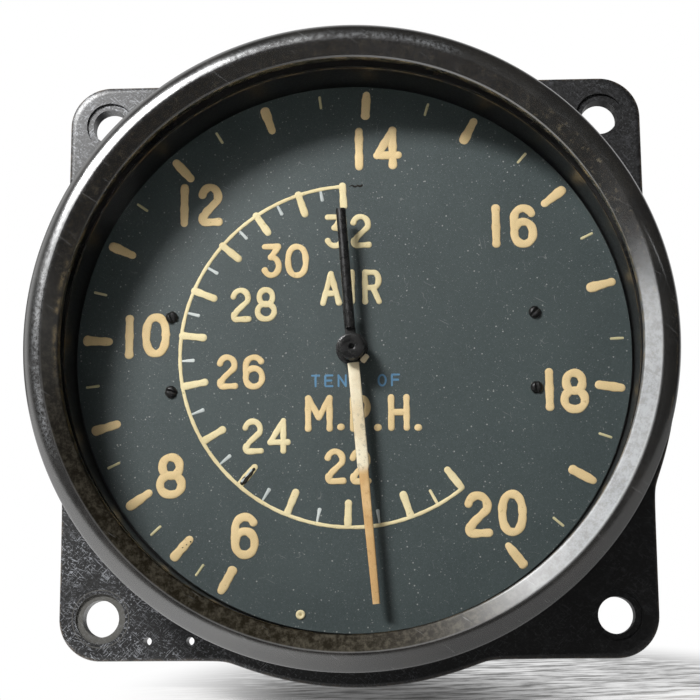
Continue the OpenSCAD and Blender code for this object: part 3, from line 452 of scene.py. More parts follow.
quarter = np.linspace(-np.pi / 2, 0, 9)
rear_arc = np.column_stack([BODY_R - rear_round + rear_round * np.cos(quarter),
                            REAR_OUT + rear_round + rear_round * np.sin(quarter)])
rows = round_rows((0, REAR_OUT), (12, REAR_OUT), (24, REAR_OUT), (30, REAR_OUT), *rear_arc)
body_l = -FLANGE_T - 0.335 - REAR_OUT - rear_round
rows += round_rows(*[(BODY_R + 0.9 * t, REAR_OUT + rear_round + body_l * t) for t in np.linspace(0.1, 1, 9)])
rows += round_rows((37.62, -FLANGE_T - 0.12), (37.9, -FLANGE_T))
rows += [(37.9, -FLANGE_T, f, -0.4) for f in (0.3, 0.6, 0.9, 1.0)]
rows += [(0, 0.1 - FLANGE_T, 1, -0.1), (0, 0.4 - FLANGE_T, 1, 0), (0, -FLANGE_T / 2, 1, 0)]
rows += [(0, -0.45, 1, 0), (0, -0.15, 1, -0.1), (0, 0, 1, -0.42)]
rows += [(41.55, 0, f, -0.42) for f in np.linspace(0.94, 0.0, 18)]
rows += round_rows((41.22, 0.1), (neck_r, 0.4), (neck_r, 4), (neck_r, 7.6), (41.05, 7.9), (40.8, neck_top))
rows += round_rows((seat_r, neck_top), (seat_r, rim_top), (36.9, rim_top), (well_r, 14.5), (well_r, 14.2))
rows += round_rows((well_r, well_floor), (bore_r, well_floor), (bore_r, REAR_IN), (0, REAR_IN))
base_r, out, follow, inset = (np.array(rows, float)[:, i : i + 1] for i in range(4))
angle = circle(720)
radius = (1 - follow) * base_r + follow * (flange_radius(angle) + inset)
x, up = radius * np.cos(angle), radius * np.sin(angle)
edge = (follow == 1) & (inset > -0.3)
rim = (np.abs(base_r - 36.85) < 0.06) & (out > 14.4)
# This mark picks out the wall of the recess below the rim, where shade is painted.
well = (base_r < 36.85) & (out > 6.0) & (out < 14.3)
case_grid = grid(part_points(x, up, out), edge=edge, rim=rim, well=well)
case = add_piece("case_moulding", [case_grid], "case_body", ["case"], case_paint, case_sharp)

# %% [markdown]
# The drills are turned pieces too. Four bolt holes have a shallow spot face, two thin holes take the
# sealing wire, and the rear wall is pierced for the two unions and the four screws that hold the
# movement.

# %% Case holes
bolt_r, spot_r, spot_deep, wire_r, stem_r, screw_r = 2.45, 3.3, 0.4, 0.55, 5.02, 1.52
through, clear = -6, 1


def drill_bit(r, first, last):
    """The profile of a plain drill of radius r between two heights."""
    return np.array([[0, first], [r, first], [r, last], [0, last]])


spot = drill_bit(spot_r, -spot_deep, clear)
bolt = np.vstack([drill_bit(bolt_r, through, -spot_deep)[:3], spot[1:]])
wire = drill_bit(wire_r, through, clear)
stem, screw = (drill_bit(r, REAR_OUT - clear, REAR_IN + clear) for r in (stem_r, screw_r))
posts = [(28.0 * np.cos(a), 28.0 * np.sin(a)) for a in np.radians([0, 68, 180])] + [(0.0, 0.0)]
holes = [turned(bolt, 64, (sx * CORNER_AT, sy * CORNER_AT), False) for sx in (-1, 1) for sy in (-1, 1)]
holes += [turned(wire, 24, (-27.9 + 5.7 * i, -37.3), False) for i in (0, 1)]
holes += [turned(stem, 64, (sx * UNION_X, 0.0), False) for sx in (-1, 1)]
holes += [turned(screw, 32, post, False) for post in posts]
drill = add_object("drill", mesh_of("drill", holes))
cut = case.modifiers.new("holes", "BOOLEAN")
cut.operation, cut.solver, cut.object = "DIFFERENCE", "EXACT", drill
drilled = bpy.data.meshes.new_from_object(case.evaluated_get(bpy.context.evaluated_depsgraph_get()))
case.modifiers.clear()
case.data = drilled
case.data.set_sharp_from_angle(angle=np.radians(case_sharp))
bpy.data.objects.remove(drill)
print("case after drilling has", len(case.data.polygons), "faces")

# %% [markdown]
# The bezel is a turned ring with a rounded outer band, a crest, and a slope that falls to the lip over
# the glass. Hands have polished the band, and the crest and the lip have worn pale and brassy. Point
# marks guide the finish. "crest" and "lip" say how near a point is to those lines, and "slope" picks out
# the brown inner slope. The crest wear is stronger from the top round to the lower left, and there its
# pale grey is also a painted sheen of the lit band. "rub" is the part of the slope that is rubbed dull at
# the lower right; its pale bluish grey is worn paint and a painted highlight where the soft box reflects.
# A mark below and on the left is dirt on the slope and painted shade: it gives a dark tan mottle and turns
# the lacquer's gloss down to a faint metallic one, so that the slope stays dark there. A mark for the
# crest at the lower right is a painted highlight, a pale line where the crest's edge catches the soft
# box, and it also holds one long scratch on the right.

# %% Bezel finish
bezel_paint, shader, where = finish("bezel_lacquer", specular=0.72, roughness=0.19)
shader.inputs["IOR"].default_value = 2.2
patch = noise(where, 160, 4, 0.6)
grit = noise(where, 1700, 2, 0.6)
place = noise(where, 26, 2, 0.5)
lacquer = mix(ramp(patch, 0.35, 0.7), (0.007, 0.0064, 0.0054), (0.014, 0.0125, 0.010))
slope_brown = mix(ramp(grit, 0.35, 0.7), (0.003, 0.0022, 0.0013), (0.012, 0.009, 0.0055))
lacquer = mix(mark_value(where, "slope"), lacquer, slope_brown)
chips = patchy(where, "slope", (900, 3, 0.75), 0.56, 0.68)
chips = times(chips, ramp(place, 0.42, 0.62, 0.15, 0.6))
lacquer = mix(chips, lacquer, (0.12, 0.10, 0.062))
# Crest wear and painted sheen: pale grey on the crest, strongest from the top round to the lower left, the
# lit side.
crest_wear_and_sheen = patchy(where, "crest", (1900, 3, 0.8), 0.38, 0.6)
crest_wear_and_sheen = times(crest_wear_and_sheen, ramp(place, 0.36, 0.58, 0.5, 1))
lacquer = mix(crest_wear_and_sheen, lacquer, (0.17, 0.18, 0.19))
# Rubbed paint and a painted highlight: the pale bluish grey of the slope at the lower right lies where the
# soft box reflects.
rubbed = patchy(where, "rub", (1100, 4, 0.8), 0.36, 0.62, 0.1, 0.9)
lacquer = mix(rubbed, lacquer, (0.15, 0.168, 0.18))
# Dirt and painted shade: below and on the left the slope takes a dark tan mottle, and its gloss is turned
# down to a faint metallic one so it stays dark.
grime = mark_value(where, "grime")
dirt = ramp(noise(where, 1100, 4, 0.8), 0.4, 0.68)
lacquer = mix(grime, lacquer, mix(dirt, (0.012, 0.010, 0.0065), (0.052, 0.046, 0.034)))
link(grime, shader.inputs["Metallic"])
lip_wear = patchy(where, "lip", (620, 4, 0.75), 0.42, 0.62)
lacquer = mix(lip_wear, lacquer, (0.20, 0.15, 0.075))
scratch = noise(where, 500, 2, 0.6, ((0, 0.6, 0), (3, 1, 0.15)))
# A long scratch on the right, and a painted highlight: a pale line along the crest at the lower right, where
# its edge catches the soft box.
bare = most(ramp(scratch, 0.67, 0.73, 0, 0.12), mark_value(where, "scrape"))
lacquer = mix(bare, lacquer, (0.42, 0.43, 0.44))
shine = ramp(patch, 0.3, 0.7, 0.17, 0.22)
for dulled, more in ((crest_wear_and_sheen, 0.15), (mark_value(where, "rub"), 0.4), (grime, 0.35)):
    shine = maths("ADD", shine, times(dulled, more))
feed(shader, lacquer, shine, grit, 0.1, 0.00004)
print("bezel finish has", len(bezel_paint.node_tree.nodes), "nodes")

# %% [markdown]
# The ring's section starts on the outer wall, goes over the band as a quarter of an ellipse, down the
# slope to the lip, and back round the seat of the glass and the neck of the case. The marks are bells
# about circles of the front, times soft spans of angle.

# %% Bezel
crest_r, crest_inset, edge_out, band_h = 38.975, 2.3, 18.2, 1.4
band = np.linspace(0, np.pi / 2, 26)
band_arc = np.column_stack([crest_r + crest_inset * np.cos(band), edge_out + band_h * np.sin(band)])
slope_line = np.column_stack([np.linspace(38.7, 36.98, 12), np.linspace(19.525, 19.0, 12)])
inside = [(36.78, 18.94), (36.7, 18.84), (36.675, 18.7), (36.675, 17.75), (36.72, 17.7), (38.875, 17.7)]
inside += [(38.925, 17.65), (38.925, 14.8), (38.975, 14.75), (39.375, 14.75), (39.375, 8.3), (39.5, 8.15)]
inside += [(41.05, 8.15), (41.275, 8.4)]
ring = np.vstack([[(41.275, 12.5)], band_arc, slope_line, inside])
ring_r, ring_out = ring[:, :1], ring[:, 1:]
front_from, around = 17.72, 768
in_front = ring_out > front_from
clock = np.degrees(circle(around))


def near_line(r, width):
    """1 on a circle of radius r of the bezel's front, falling off like a bell over a width."""
    return np.exp(-(((ring_r - r) / width) ** 2)) * in_front


def span(first, last, soft=1.0):
    """1 between two angles, counter-clockwise from the right, with soft ends."""
    away = np.abs((clock - (first + last) / 2 + 180) % 360 - 180)
    return 1 / (1 + np.exp((away - (last - first) / 2) / soft))


# The crest mark is wear and painted sheen: strongest from the top round to the lower left, the lit side.
crest_wear_sheen_mark = near_line(39.5, 0.5) * (0.05 + 0.75 * span(70, 200))
lip_mark = np.maximum(0.8 * near_line(36.68, 0.05), 0.6 * near_line(40.7, 0.06) * span(-16, 4))
lip_mark = np.maximum(lip_mark, near_line(37.1, 0.25) * span(166, 186, 2.0))
slope_mark = np.clip((38.95 - ring_r) / 0.25, 0, 1) * in_front
# The rub mark is rubbed paint and a painted highlight, on the lower right where the soft box reflects in the
# slope.
rub_and_highlight_mark = slope_mark * span(-50, 8, 5.0)
# This mark is dirt and painted shade on the slope below and on the left, away from the highlight.
grime_mark = slope_mark * span(-185, -60, 7.0)
# One long scratch on the right, and a painted highlight: a pale line along the crest at the lower right.
scrape_mark = 0.4 * near_line(39.5 + 0.07 * (18 - clock), 0.08) * span(11, 18)
scrape_mark = np.maximum(scrape_mark, 0.8 * near_line(38.85, 0.12) * span(-52, -8, 4.0))
bezel_grid = turned(ring, around, crest=crest_wear_sheen_mark, lip=lip_mark, slope=slope_mark, rub=rub_and_highlight_mark,
                    scrape=scrape_mark, grime=grime_mark)
add_piece("bezel_band", [bezel_grid], "case_body", ["bezel_ring"], bezel_paint, 45)

# %% [markdown]
# The glass, its rubber gasket and the dial plate already have their true shape in the solids, so they
# keep it and get finishes. The glass is a thin clear layer: mostly see-through, with a weak gloss, so
# that the light still reaches the dial. The dial is matt slate grey paint with a slow mottle, dust specks
# and a few hair scratches.

# %% Glass, gasket and dial finishes
glass_tint = (0.02, 0.021, 0.021)
glass_clear, shader, where = finish("window_glass", roughness=0.02, colour=glass_tint)
smear = noise(where, 40, 3)
link(ramp(smear, 0.4, 0.75, 0.035, 0.075), shader.inputs["Alpha"])
gasket_rubber, shader, where = finish("gasket_rubber", specular=0.2, roughness=0.8)
feed(shader, mix(noise(where, 500), (0.010, 0.010, 0.010), (0.022, 0.021, 0.02)))

dial_paint, shader, where = finish("dial_slate", specular=0.55, roughness=0.5)
mottle = noise(where, 55, 5, 0.6)
tooth = noise(where, 5200, 2, 0.6)
slate = mix(ramp(mottle, 0.3, 0.7), (0.031, 0.047, 0.048), (0.043, 0.061, 0.061))
slate = mix(ramp(tooth, 0.35, 0.7, 0, 0.55), slate, (0.064, 0.085, 0.084))
flat = add_node("ShaderNodeMapping", {"Vector": where, "Rotation": (-np.pi / 2, 0, 0)})
for size, reach, share in ((520.0, 0.07, 0.8), (900.0, 0.09, 0.6), (1700.0, 0.12, 0.4)):
    inputs = {"Vector": flat, "Scale": size}
    cells = add_node("ShaderNodeTexVoronoi", inputs, {"voronoi_dimensions": "2D"})
    few = ramp(noise(where, 0.6 * size, 2), 0.5, 0.62, 0, share)
    dust = times(ramp(cells, 0.4 * reach, reach, 1, 0), few)
    slate = mix(dust, slate, (0.36, 0.37, 0.35))
for turn_by in (0.5, -0.9, 1.4):
    hair = noise(where, 900, 1, 0.4, ((0, turn_by, 0), (3, 1, 0.16)))
    hair = times(ramp(hair, 0.73, 0.77), ramp(mottle, 0.48, 0.62))
    slate = mix(times(hair, 0.5), slate, (0.24, 0.25, 0.24))
fluff = times(hairs(where, 600, 0.66), 0.35)
slate = mix(fluff, slate, (0.30, 0.31, 0.30))
feed(shader, slate, ramp(tooth, 0.3, 0.7, 0.46, 0.54), tooth, 0.1, 0.00003)


def dress(names, material):
    """Gives solids that keep their shape a finish; the names stand in one text, with spaces between."""
    for name in names.split():
        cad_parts[name].data.materials.clear()
        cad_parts[name].data.materials.append(material)
    print(material.name, "on", names)


dress("glass", glass_clear)
dress("glass_gasket", gasket_rubber)
dress("dial", dial_paint)

# %% [markdown]
# The marks and numerals were laid on by hand as thick luminous paint, so each stroke is a bead with a
# round back and round ends. A bead is a half-round profile carried along a flat path. Its width and
# height shrink along a quarter circle at the ends. The mark "crown" is 0 at the edge of a bead and 1
# along its back, so the finish can darken the edges, where the paint is thin and dirty.

# %% Bead strokes
def bead(path, width, height=0.17, closed=False, waver=0.06, base=DIAL - 0.03, taper=0.0, tip=1.0):
    """A bead along a path of (x, up) points: path(s) + side(s) * w/2 * cos(t), raised by height * sin(t)^0.6.
    At open ends the middle line runs on by tip * w/2 * sin(e) while w and the height shrink by cos(e).
    A taper makes the start wider and the end narrower."""
    path = np.asarray(path, float)
    if closed:
        path = np.vstack([path, path[:1]])
    s = np.concatenate([[0.0], np.cumsum(np.linalg.norm(np.diff(path, axis=0), axis=1))])
    count = max(4, int(s[-1] / 0.16))
    along = np.linspace(0, s[-1], count, endpoint=not closed)
    mid = np.column_stack([np.interp(along, s, path[:, 0]), np.interp(along, s, path[:, 1])])
    ahead = (np.roll(mid, -1, axis=0) - np.roll(mid, 1, axis=0)) if closed else np.gradient(mid, axis=0)
    ahead /= np.linalg.norm(ahead, axis=1, keepdims=True)
    scale = 1 + waver * np.sin(along * 2.3 + path[0, 0] * 5)
    scale += 0.6 * waver * np.sin(along * 5.1 + path[0, 1] * 3)
    scale *= 1 + taper * (0.5 - along / s[-1])
    if not closed:
        e = np.linspace(0, np.pi / 2, 6)[1:]
        run, shrink = (tip * width / 2 * np.sin(e))[:, None], np.cos(e)
        mid = np.vstack([(mid[0] - ahead[0] * run)[::-1], mid, mid[-1] + ahead[-1] * run])
        ahead = np.vstack([np.repeat(ahead[:1], 5, axis=0), ahead, np.repeat(ahead[-1:], 5, axis=0)])
        scale = np.concatenate([(scale[0] * shrink)[::-1], scale, scale[-1] * shrink])
        scale[[0, -1]] = 0.0
    t = np.linspace(0, np.pi, 13)
    reach = (width / 2 * scale)[:, None] * np.cos(t)
    x, up = mid[:, :1] - ahead[:, 1:] * reach, mid[:, 1:] + ahead[:, :1] * reach
    out = base + height * np.minimum(scale, 1.0)[:, None] * np.abs(np.sin(t)) ** 0.6
    return grid(part_points(x, up, out), wrap_rows=closed, crown=np.sin(t))


def ray(degrees):
    """The direction of a ray of the dial, at an angle clockwise from the top: (sin, cos)."""
    a = np.radians(degrees)
    return np.stack([np.sin(a), np.cos(a)], axis=-1)


def dial_line(degrees, r0, r1):
    """Two points on a ray of the dial."""
    return np.outer([r0, r1], ray(degrees))


# %% [markdown]
# Six paints dress the dial: peach and cream for the luminous marks, pale and chalk for the thin half
# marks, black where the paint has gone, and the blue of the small print.

# %% Paint finishes
def luminous(name, bright, dull, edge):
    """Aged luminous paint: a slow change between two creams, small dirt pits and a darker thin edge."""
    material, shader, where = finish(name, specular=0.12, roughness=0.6)
    slow, quick = noise(where, 220, 3), noise(where, 1500, 3, 0.7)
    paint = mix(ramp(slow, 0.35, 0.65), dull, bright)
    paint = mix(ramp(quick, 0.6, 0.74, 0, 0.5), paint, edge)
    paint = mix(ramp(mark_value(where, "crown"), 0.15, 0.55, 0.8, 0), paint, edge)
    feed(shader, paint, None, quick, 0.25, 0.00006)
    return material


peach = luminous("paint_peach", (0.83, 0.64, 0.35), (0.75, 0.57, 0.30), (0.38, 0.24, 0.10))
cream = luminous("paint_cream", (0.85, 0.74, 0.45), (0.76, 0.64, 0.37), (0.38, 0.29, 0.11))
pale = luminous("paint_pale", (0.68, 0.61, 0.36), (0.54, 0.50, 0.29), (0.28, 0.25, 0.13))
chalk = luminous("paint_chalk", (0.66, 0.70, 0.68), (0.52, 0.56, 0.55), (0.30, 0.33, 0.32))
soot = luminous("paint_bare", (0.012, 0.011, 0.01), (0.03, 0.026, 0.02), (0.05, 0.04, 0.025))
blue = luminous("print_blue", (0.135, 0.285, 0.44), (0.11, 0.24, 0.38), (0.08, 0.17, 0.26))
print("paints:", ", ".join(paint.name for paint in (peach, cream, pale, chalk, soot, blue)))

# %% [markdown]
# The scale is not even: a capsule's lift and the rise of air pressure give each step its own width. The
# angles below are the instrument's scale law, clockwise from the top, from 6 to 20 on the outer ring in
# half steps and from 20 to 32 on the inner one in whole steps. The solids use the same law, and these
# beads stand for them.

# %% Scale marks
outer_scale = np.array([
    209, 215.2, 221.2, 228, 235.6, 245, 253.5, 263.1, 273.3, 284, 294.8, 305.6, 318, 329, 340.7, 353.1, 363.4,
    377.1, 387.8, 401.2, 412.5, 424, 435.4, 447.8, 458.5, 469.3, 479.2, 490.6, 502.2])
inner_scale = np.array([
    502.2, 521.2, 542, 562.3, 580.6, 599.5, 619.1, 636.4, 652.2, 670.3, 685.6, 701.6, 716.9])
peach_beads = [bead(dial_line(a, 32.5, 35.3), 1.22, taper=0.25 * np.cos(7 * a)) for a in outer_scale[::2]]
pale_beads = [bead(dial_line(a, 33.9, 35.4), 0.36, 0.12) for a in outer_scale[1::2]]
dimple = np.array([[0, 0.06], [0.14, 0.08], [0.3, 0.17], [0.44, 0.2], [0.56, 0.15], [0.62, 0.05],
                   [0.63, -0.03]])
crown = np.array([0.1, 0.3, 0.7, 1, 0.6, 0.3, 0.1])[:, None]
dot_at = 34.8 * ray(191.5)
cream_beads = [turned(dimple + [0, DIAL], 48, dot_at, False, crown=crown)]
scale_arc = 22.8 * ray(np.linspace(inner_scale[0], inner_scale[-1], 400)) - [0.05, 0.2]
cream_beads += [bead(scale_arc, 0.5, 0.14)]
cream_beads += [bead(dial_line(a, 19.9, 22.7), 0.98) for a in inner_scale]
halves = (inner_scale[1:] + inner_scale[:-1]) / 2
white_beads = [bead(dial_line(a, 21.1, 22.6), 0.4, 0.1, taper=0.5) for a in halves[1:]]
cream_beads += [bead(dial_line(halves[0], 20.9, 22.6), 0.4, 0.12)]
print("scale beads:", len(peach_beads), len(cream_beads), len(pale_beads), len(white_beads))

# %% [markdown]
# Numerals and letters are drawn as a sign writer draws them, from a few strokes each. A glyph is a list
# of paths in a box from -1 to 1 both ways; each is stretched to its measured width and height, less the
# width of the brush.

# %% Strokes of the numerals and letters
def curve(cx, cy, rx, ry, a0, a1, count=40):
    """Part of an ellipse from angle a0 to a1, counter-clockwise from the right."""
    a = np.radians(np.linspace(a0, a1, count))
    return np.column_stack([cx + rx * np.cos(a), cy + ry * np.sin(a)])


def loop(cx, cy, rx, ry, power=2.3):
    """A closed oval |x/rx|^p + |y/ry|^p = 1."""
    a = circle(72)
    c, s = np.cos(a), np.sin(a)
    bend = 2 / power
    x, y = np.sign(c) * np.abs(c) ** bend, np.sign(s) * np.abs(s) ** bend
    return np.column_stack([cx + rx * x, cy + ry * y])


def line(*points):
    """A straight run through some points."""
    return np.array(points, float)


LEFT, MIDDLE = line((-1, -1), (-1, 1)), line((0, 1), (0, -1))
GLYPHS = {
    "0": [loop(0, 0, 1, 1)],
    "1": [MIDDLE],
    "2": [np.vstack([curve(-0.04, 0.46, 0.94, 0.54, 168, -25), curve(0.62, -1.05, 1.52, 0.92, 128, 165)]),
          np.vstack([curve(-0.62, -0.76, 0.3, 0.24, 150, 270, 16), [(1, -0.97)]])],
    "3": [line((-0.9, 1), (0.9, 1)), line((0.9, 0.96), (-0.06, 0.24)), curve(0, -0.37, 1, 0.63, 95, -155)],
    "4": [line((0.5, 1), (-1, -0.42)), line((-1, -0.42), (1, -0.42)), line((0.5, 1), (0.5, -1))],
    "6": [loop(0, -0.38, 1, 0.62, 2.1), np.vstack([curve(0, 0.42, 1, 0.58, 30, 180), [(-1, -0.38)]])],
    "8": [loop(0, 0.5, 0.8, 0.5, 2.1), loop(0, -0.48, 1, 0.52, 2.1)],
    "A": [line((-1, -1), (0, 1)), line((0, 1), (1, -1)), line((-0.66, -0.35), (0.66, -0.35))],
    "I": [MIDDLE],
    "R": [LEFT, line((0.15, -0.04), (1, -1)),
          np.vstack([[(-1, 1)], curve(0.25, 0.48, 0.7, 0.52, 90, -90), [(-1, -0.04)]])],
    "M": [LEFT, line((-1, 1), (0, -0.25)), line((0, -0.25), (1, 1)), line((1, 1), (1, -1))],
    "P": [LEFT, np.vstack([[(-1, 1)], curve(0.2, 0.45, 0.8, 0.55, 90, -90), [(-1, -0.1)]])],
    "H": [LEFT, line((1, -1), (1, 1)), line((-1, 0.02), (1, 0.02))],
    "T": [line((-1, 1), (1, 1)), MIDDLE],
    "E": [line((1, 1), (-1, 1), (-1, -1), (1, -1)), line((-1, 0.05), (0.7, 0.05))],
    "N": [LEFT, line((-1, 1), (1, -1)), line((1, -1), (1, 1))],
    "S": [np.vstack([curve(0, 0.5, 0.95, 0.5, 25, 270), curve(0, -0.5, 0.95, 0.5, 90, -155)])],
    "O": [loop(0, 0, 1, 1, 2.0)],
    "F": [line((1, 1), (-1, 1), (-1, -1)), line((-1, 0.05), (0.7, 0.05))],
}
ROUND = {"0": (0,), "6": (0,), "8": (0, 1), "O": (0,)}


def glyph(name, cx, cy, width, height, brush, rise=0.17):
    """The beads of one glyph whose painted box is width by height about (cx, cy)."""
    size = np.array([max(width - brush, 0.0), height - brush]) / 2
    closed = ROUND.get(name, ())
    return [bead(stroke * size + [cx, cy], brush, rise, i in closed) for i, stroke in enumerate(GLYPHS[name])]


# %% [markdown]
# Each numeral and letter has its middle and its painted size, in millimetres on the dial. The outer
# numerals are larger and in peach, and those of the inner scale come in peach and cream.

# %% Numerals and legends
outer_numerals = [
    ("1", 1.04, 27.78, 1.2, 6.0), ("4", 4.87, 27.85, 3.9, 6.0), ("1", -22.5, 20.36, 1.2, 6.0),
    ("2", -18.99, 20.37, 3.38, 6.0), ("1", 19.19, 16.77, 1.2, 6.0), ("6", 22.83, 16.7, 3.58, 6.0),
    ("1", 25.65, -5.33, 1.2, 5.7), ("8", 28.89, -5.57, 3.76, 5.9), ("2", 16.07, -21.51, 3.73, 6.0),
    ("0", 20.44, -21.36, 3.72, 6.0), ("1", -29.64, 2.47, 1.2, 6.0), ("0", -26.1, 2.62, 3.74, 6.0),
    ("8", -23.87, -16.08, 3.94, 6.0), ("6", -14.14, -23.97, 3.64, 6.0)]
inner_peach = [("3", -10.76, 12.5, 2.81), ("0", -7.35, 12.44, 3.2), ("2", -16.55, -2.42, 2.9),
               ("6", -13.04, -2.47, 3.0), ("2", -2.36, -15.08, 2.9), ("2", 0.89, -15.12, 2.9)]
inner_cream = [("3", -2.26, 16.4, 2.94), ("2", 1.21, 16.41, 2.9), ("2", -14.81, 6.57, 2.9),
               ("8", -11.48, 6.59, 3.0), ("2", -13.14, -11.02, 2.9), ("4", -9.73, -11.0, 3.1),
               ("A", -2.83, 8.62, 2.92), ("I", -0.04, 8.8, 0.8), ("R", 2.61, 8.74, 2.65)]
speed_units = [("M", -4.49, -8.1, 3.67), ("P", 0.95, -8.17, 2.75), ("H", 5.98, -8.1, 2.87)]
brush_outer, brush_peach, brush_units, brush_cream, brush_print = 1.12, 0.84, 0.86, 0.8, 0.3
inner_high, units_high, print_high = 4.75, 4.88, 1.73
for name, cx, cy, width, height in outer_numerals:
    peach_beads += glyph(name, cx, cy, width, height, brush_outer)
for name, cx, cy, width in inner_peach:
    peach_beads += glyph(name, cx, cy, width, inner_high, brush_peach)
for name, cx, cy, width in speed_units:
    peach_beads += glyph(name, cx, cy, width, units_high, brush_units)
for cx, cy in ((-1.61, -9.92), (3.21, -10.04), (8.47, -10.11)):
    peach_beads.append(bead([(cx - 0.04, cy), (cx + 0.04, cy)], 0.95))
for name, cx, cy, width in inner_cream:
    cream_beads += glyph(name, cx, cy, width, inner_high, brush_cream)
blue_beads = []
for i, name in enumerate("TENS OF"):
    if name != " ":
        blue_beads += glyph(name, 0.33 - 5.25 + 1.75 * i, -3.79, 1.25, print_high, brush_print, 0.05)
print("beads:", len(peach_beads), "peach,", len(cream_beads), "cream and", len(blue_beads), "blue")

# %% [markdown]
# In a few places the paint has gone and shows black. One mark of the inner scale keeps only a pale core,
# the line of that scale is cracked at the top, and one outer mark has three small chips.

# %% Worn marks
along = ray(inner_scale[4])
across = along[::-1] * [1, -1]
black_beads = [bead([20.1 * along - 0.1 * across, 22.5 * along - 0.1 * across], 0.66, 0.24, waver=0.15)]
white_beads += [bead([20.4 * along + 0.06 * across, 22.3 * along + 0.04 * across], 0.34, 0.3, waver=0.2)]
crack = [(-0.3, 22.6), (0.1, 22.75), (0.4, 22.5), (0.8, 22.7), (1.2, 22.55), (1.4, 22.75)]
black_beads += [bead(crack, 0.22, 0.1, waver=0.3)]
along = ray(outer_scale[2])
for i in range(3):
    first = (32.6 + 0.5 * i) * along + [0.28 - 0.16 * i, -0.1]
    last = (32.8 + 0.5 * i) * along + [0.4 - 0.2 * i, 0]
    black_beads += [bead([first, last], 0.2, 0.2)]
painted = (("marks_peach", peach_beads, peach), ("marks_cream", cream_beads, cream),
           ("marks_pale", pale_beads, pale), ("marks_chalk", white_beads, chalk),
           ("marks_worn", black_beads, soot), ("legend_blue", blue_beads, blue))
for name, beads, paint in painted:
    add_piece(name, beads, "case_body", ["scale_marks"], paint)

# %% [markdown]
# The four dial screws are small blackened steel screws. Each head is a disc of rings raised to a dome, and
# its slot is a smooth trench across it, turned to a different angle on each screw as a hand left it.

# %% Dial screws
black_steel, shader, where = finish("screw_black", specular=0.35, roughness=0.4)
bare = ramp(noise(where, 2500), 0.5, 0.75)
feed(shader, mix(bare, (0.006, 0.006, 0.006), (0.045, 0.043, 0.04)))


def screw_head(cx, cy, turn, r=0.8, height=0.6, slot=0.3):
    """A domed head: height (1 - 0.55 q^4) over the disc radius q, less a trench of half width slot/2 across
    it; the last row drops to the dial."""
    a = circle(64)
    q = np.concatenate([np.linspace(0, 1, 16), [1.0]])[:, None]
    x, y = r * q * np.cos(a), r * q * np.sin(a)
    trench = 1 / (1 + np.exp((np.abs(x * np.cos(turn) + y * np.sin(turn)) - slot / 2) / 0.02))
    out = DIAL + height * (1 - 0.55 * q**4) - 0.3 * trench
    out[-1] = DIAL - 0.05
    return grid(part_points(cx + x, cy + y, out))


slots = ((-1, 1, 0.5), (-1, -1, 1.3), (1, 1, -0.75), (1, -1, 0.05))
heads = [screw_head(sx * 24.0, sy * 5.0, turn_by) for sx, sy, turn_by in slots]
add_piece("dial_screw_heads", heads, "case_body", ["dial_screws"], black_steel, 60)

# %% [markdown]
# The pointer is a thin blade filled with luminous paint: cream over its broad inner half, burnt to an
# orange brown over its slim outer half. Behind the hub runs a black half-round tail on a flat link, which
# balances it. All of them ride on the pointer's body and turn with it, so their finishes read Object
# coordinates turned to the pointer's own line.

# %% Pointer finishes
pointer_cream, shader, where = finish("pointer_paint", specular=0.15, roughness=0.55)
own = add_node("ShaderNodeMapping", {"Vector": where, "Rotation": (0.0, -float(REST), 0.0)})
along = axis(own, 2)
specks, slow = noise(where, 1700, 3, 0.7), noise(where, 260, 3)
inner = mix(ramp(slow, 0.35, 0.65), (0.76, 0.64, 0.43), (0.88, 0.80, 0.60))
rub = times(ramp(specks, 0.5, 0.66), ramp(along, 0.004, 0.010))
inner = mix(times(rub, 0.55), inner, (0.30, 0.27, 0.21))
outer = mix(ramp(slow, 0.35, 0.65), (0.61, 0.38, 0.165), (0.77, 0.54, 0.28))
outer = mix(times(ramp(specks, 0.55, 0.7), 0.5), outer, (0.42, 0.24, 0.10))
blade = mix(ramp(along, 0.0152, 0.0166), inner, outer)
blade = mix(ramp(mark_value(where, "crown"), 0.15, 0.5, 0.75, 0), blade, (0.10, 0.055, 0.02))
feed(shader, blade, None, specks, 0.2, 0.00005)
pointer_black, shader, where = finish("pointer_black", specular=0.6, roughness=0.3)
shade = ramp(noise(where, 1900, 3), 0.4, 0.8)
feed(shader, mix(shade, (0.006, 0.006, 0.006), (0.02, 0.0195, 0.0185)),
     ramp(noise(where, 900), 0.35, 0.65, 0.24, 0.34))
print("pointer finishes:", pointer_cream.name, "and", pointer_black.name)

# %% [markdown]
# Blade and link are flat bars with soft edges, drawn along the line on which the pointer rests. The tail
# is a bead, the collar and the bush are turned, and a flake of old paint lies on the collar.

# %% Pointer
def strip(r, widths, low, high, square=0.55):
    """A flat bar along the pointer: its section is a soft box, x = w/2 |cos t|^k and out about the middle by
    |sin t|^k, and its end rows shrink to a point."""
    r = np.concatenate([[r[0], r[0]], r, [r[-1], r[-1]]])[:, None]
    w = np.concatenate([[0, 0.8 * widths[0]], widths, [0.8 * widths[-1], 0]])[:, None]
    grow = np.concatenate([[0, 0.8], np.ones(len(widths)), [0.8, 0]])[:, None]
    t = circle(24)
    sx = w / 2 * np.sign(np.cos(t)) * np.abs(np.cos(t)) ** square
    out = (low + high) / 2 + grow * (high - low) / 2 * np.sign(np.sin(t)) * np.abs(np.sin(t)) ** square
    x, up = r * np.sin(REST) + sx * np.cos(REST), r * np.cos(REST) - sx * np.sin(REST)
    return grid(part_points(x, up, out), crown=np.clip(np.sin(t), 0, 1))


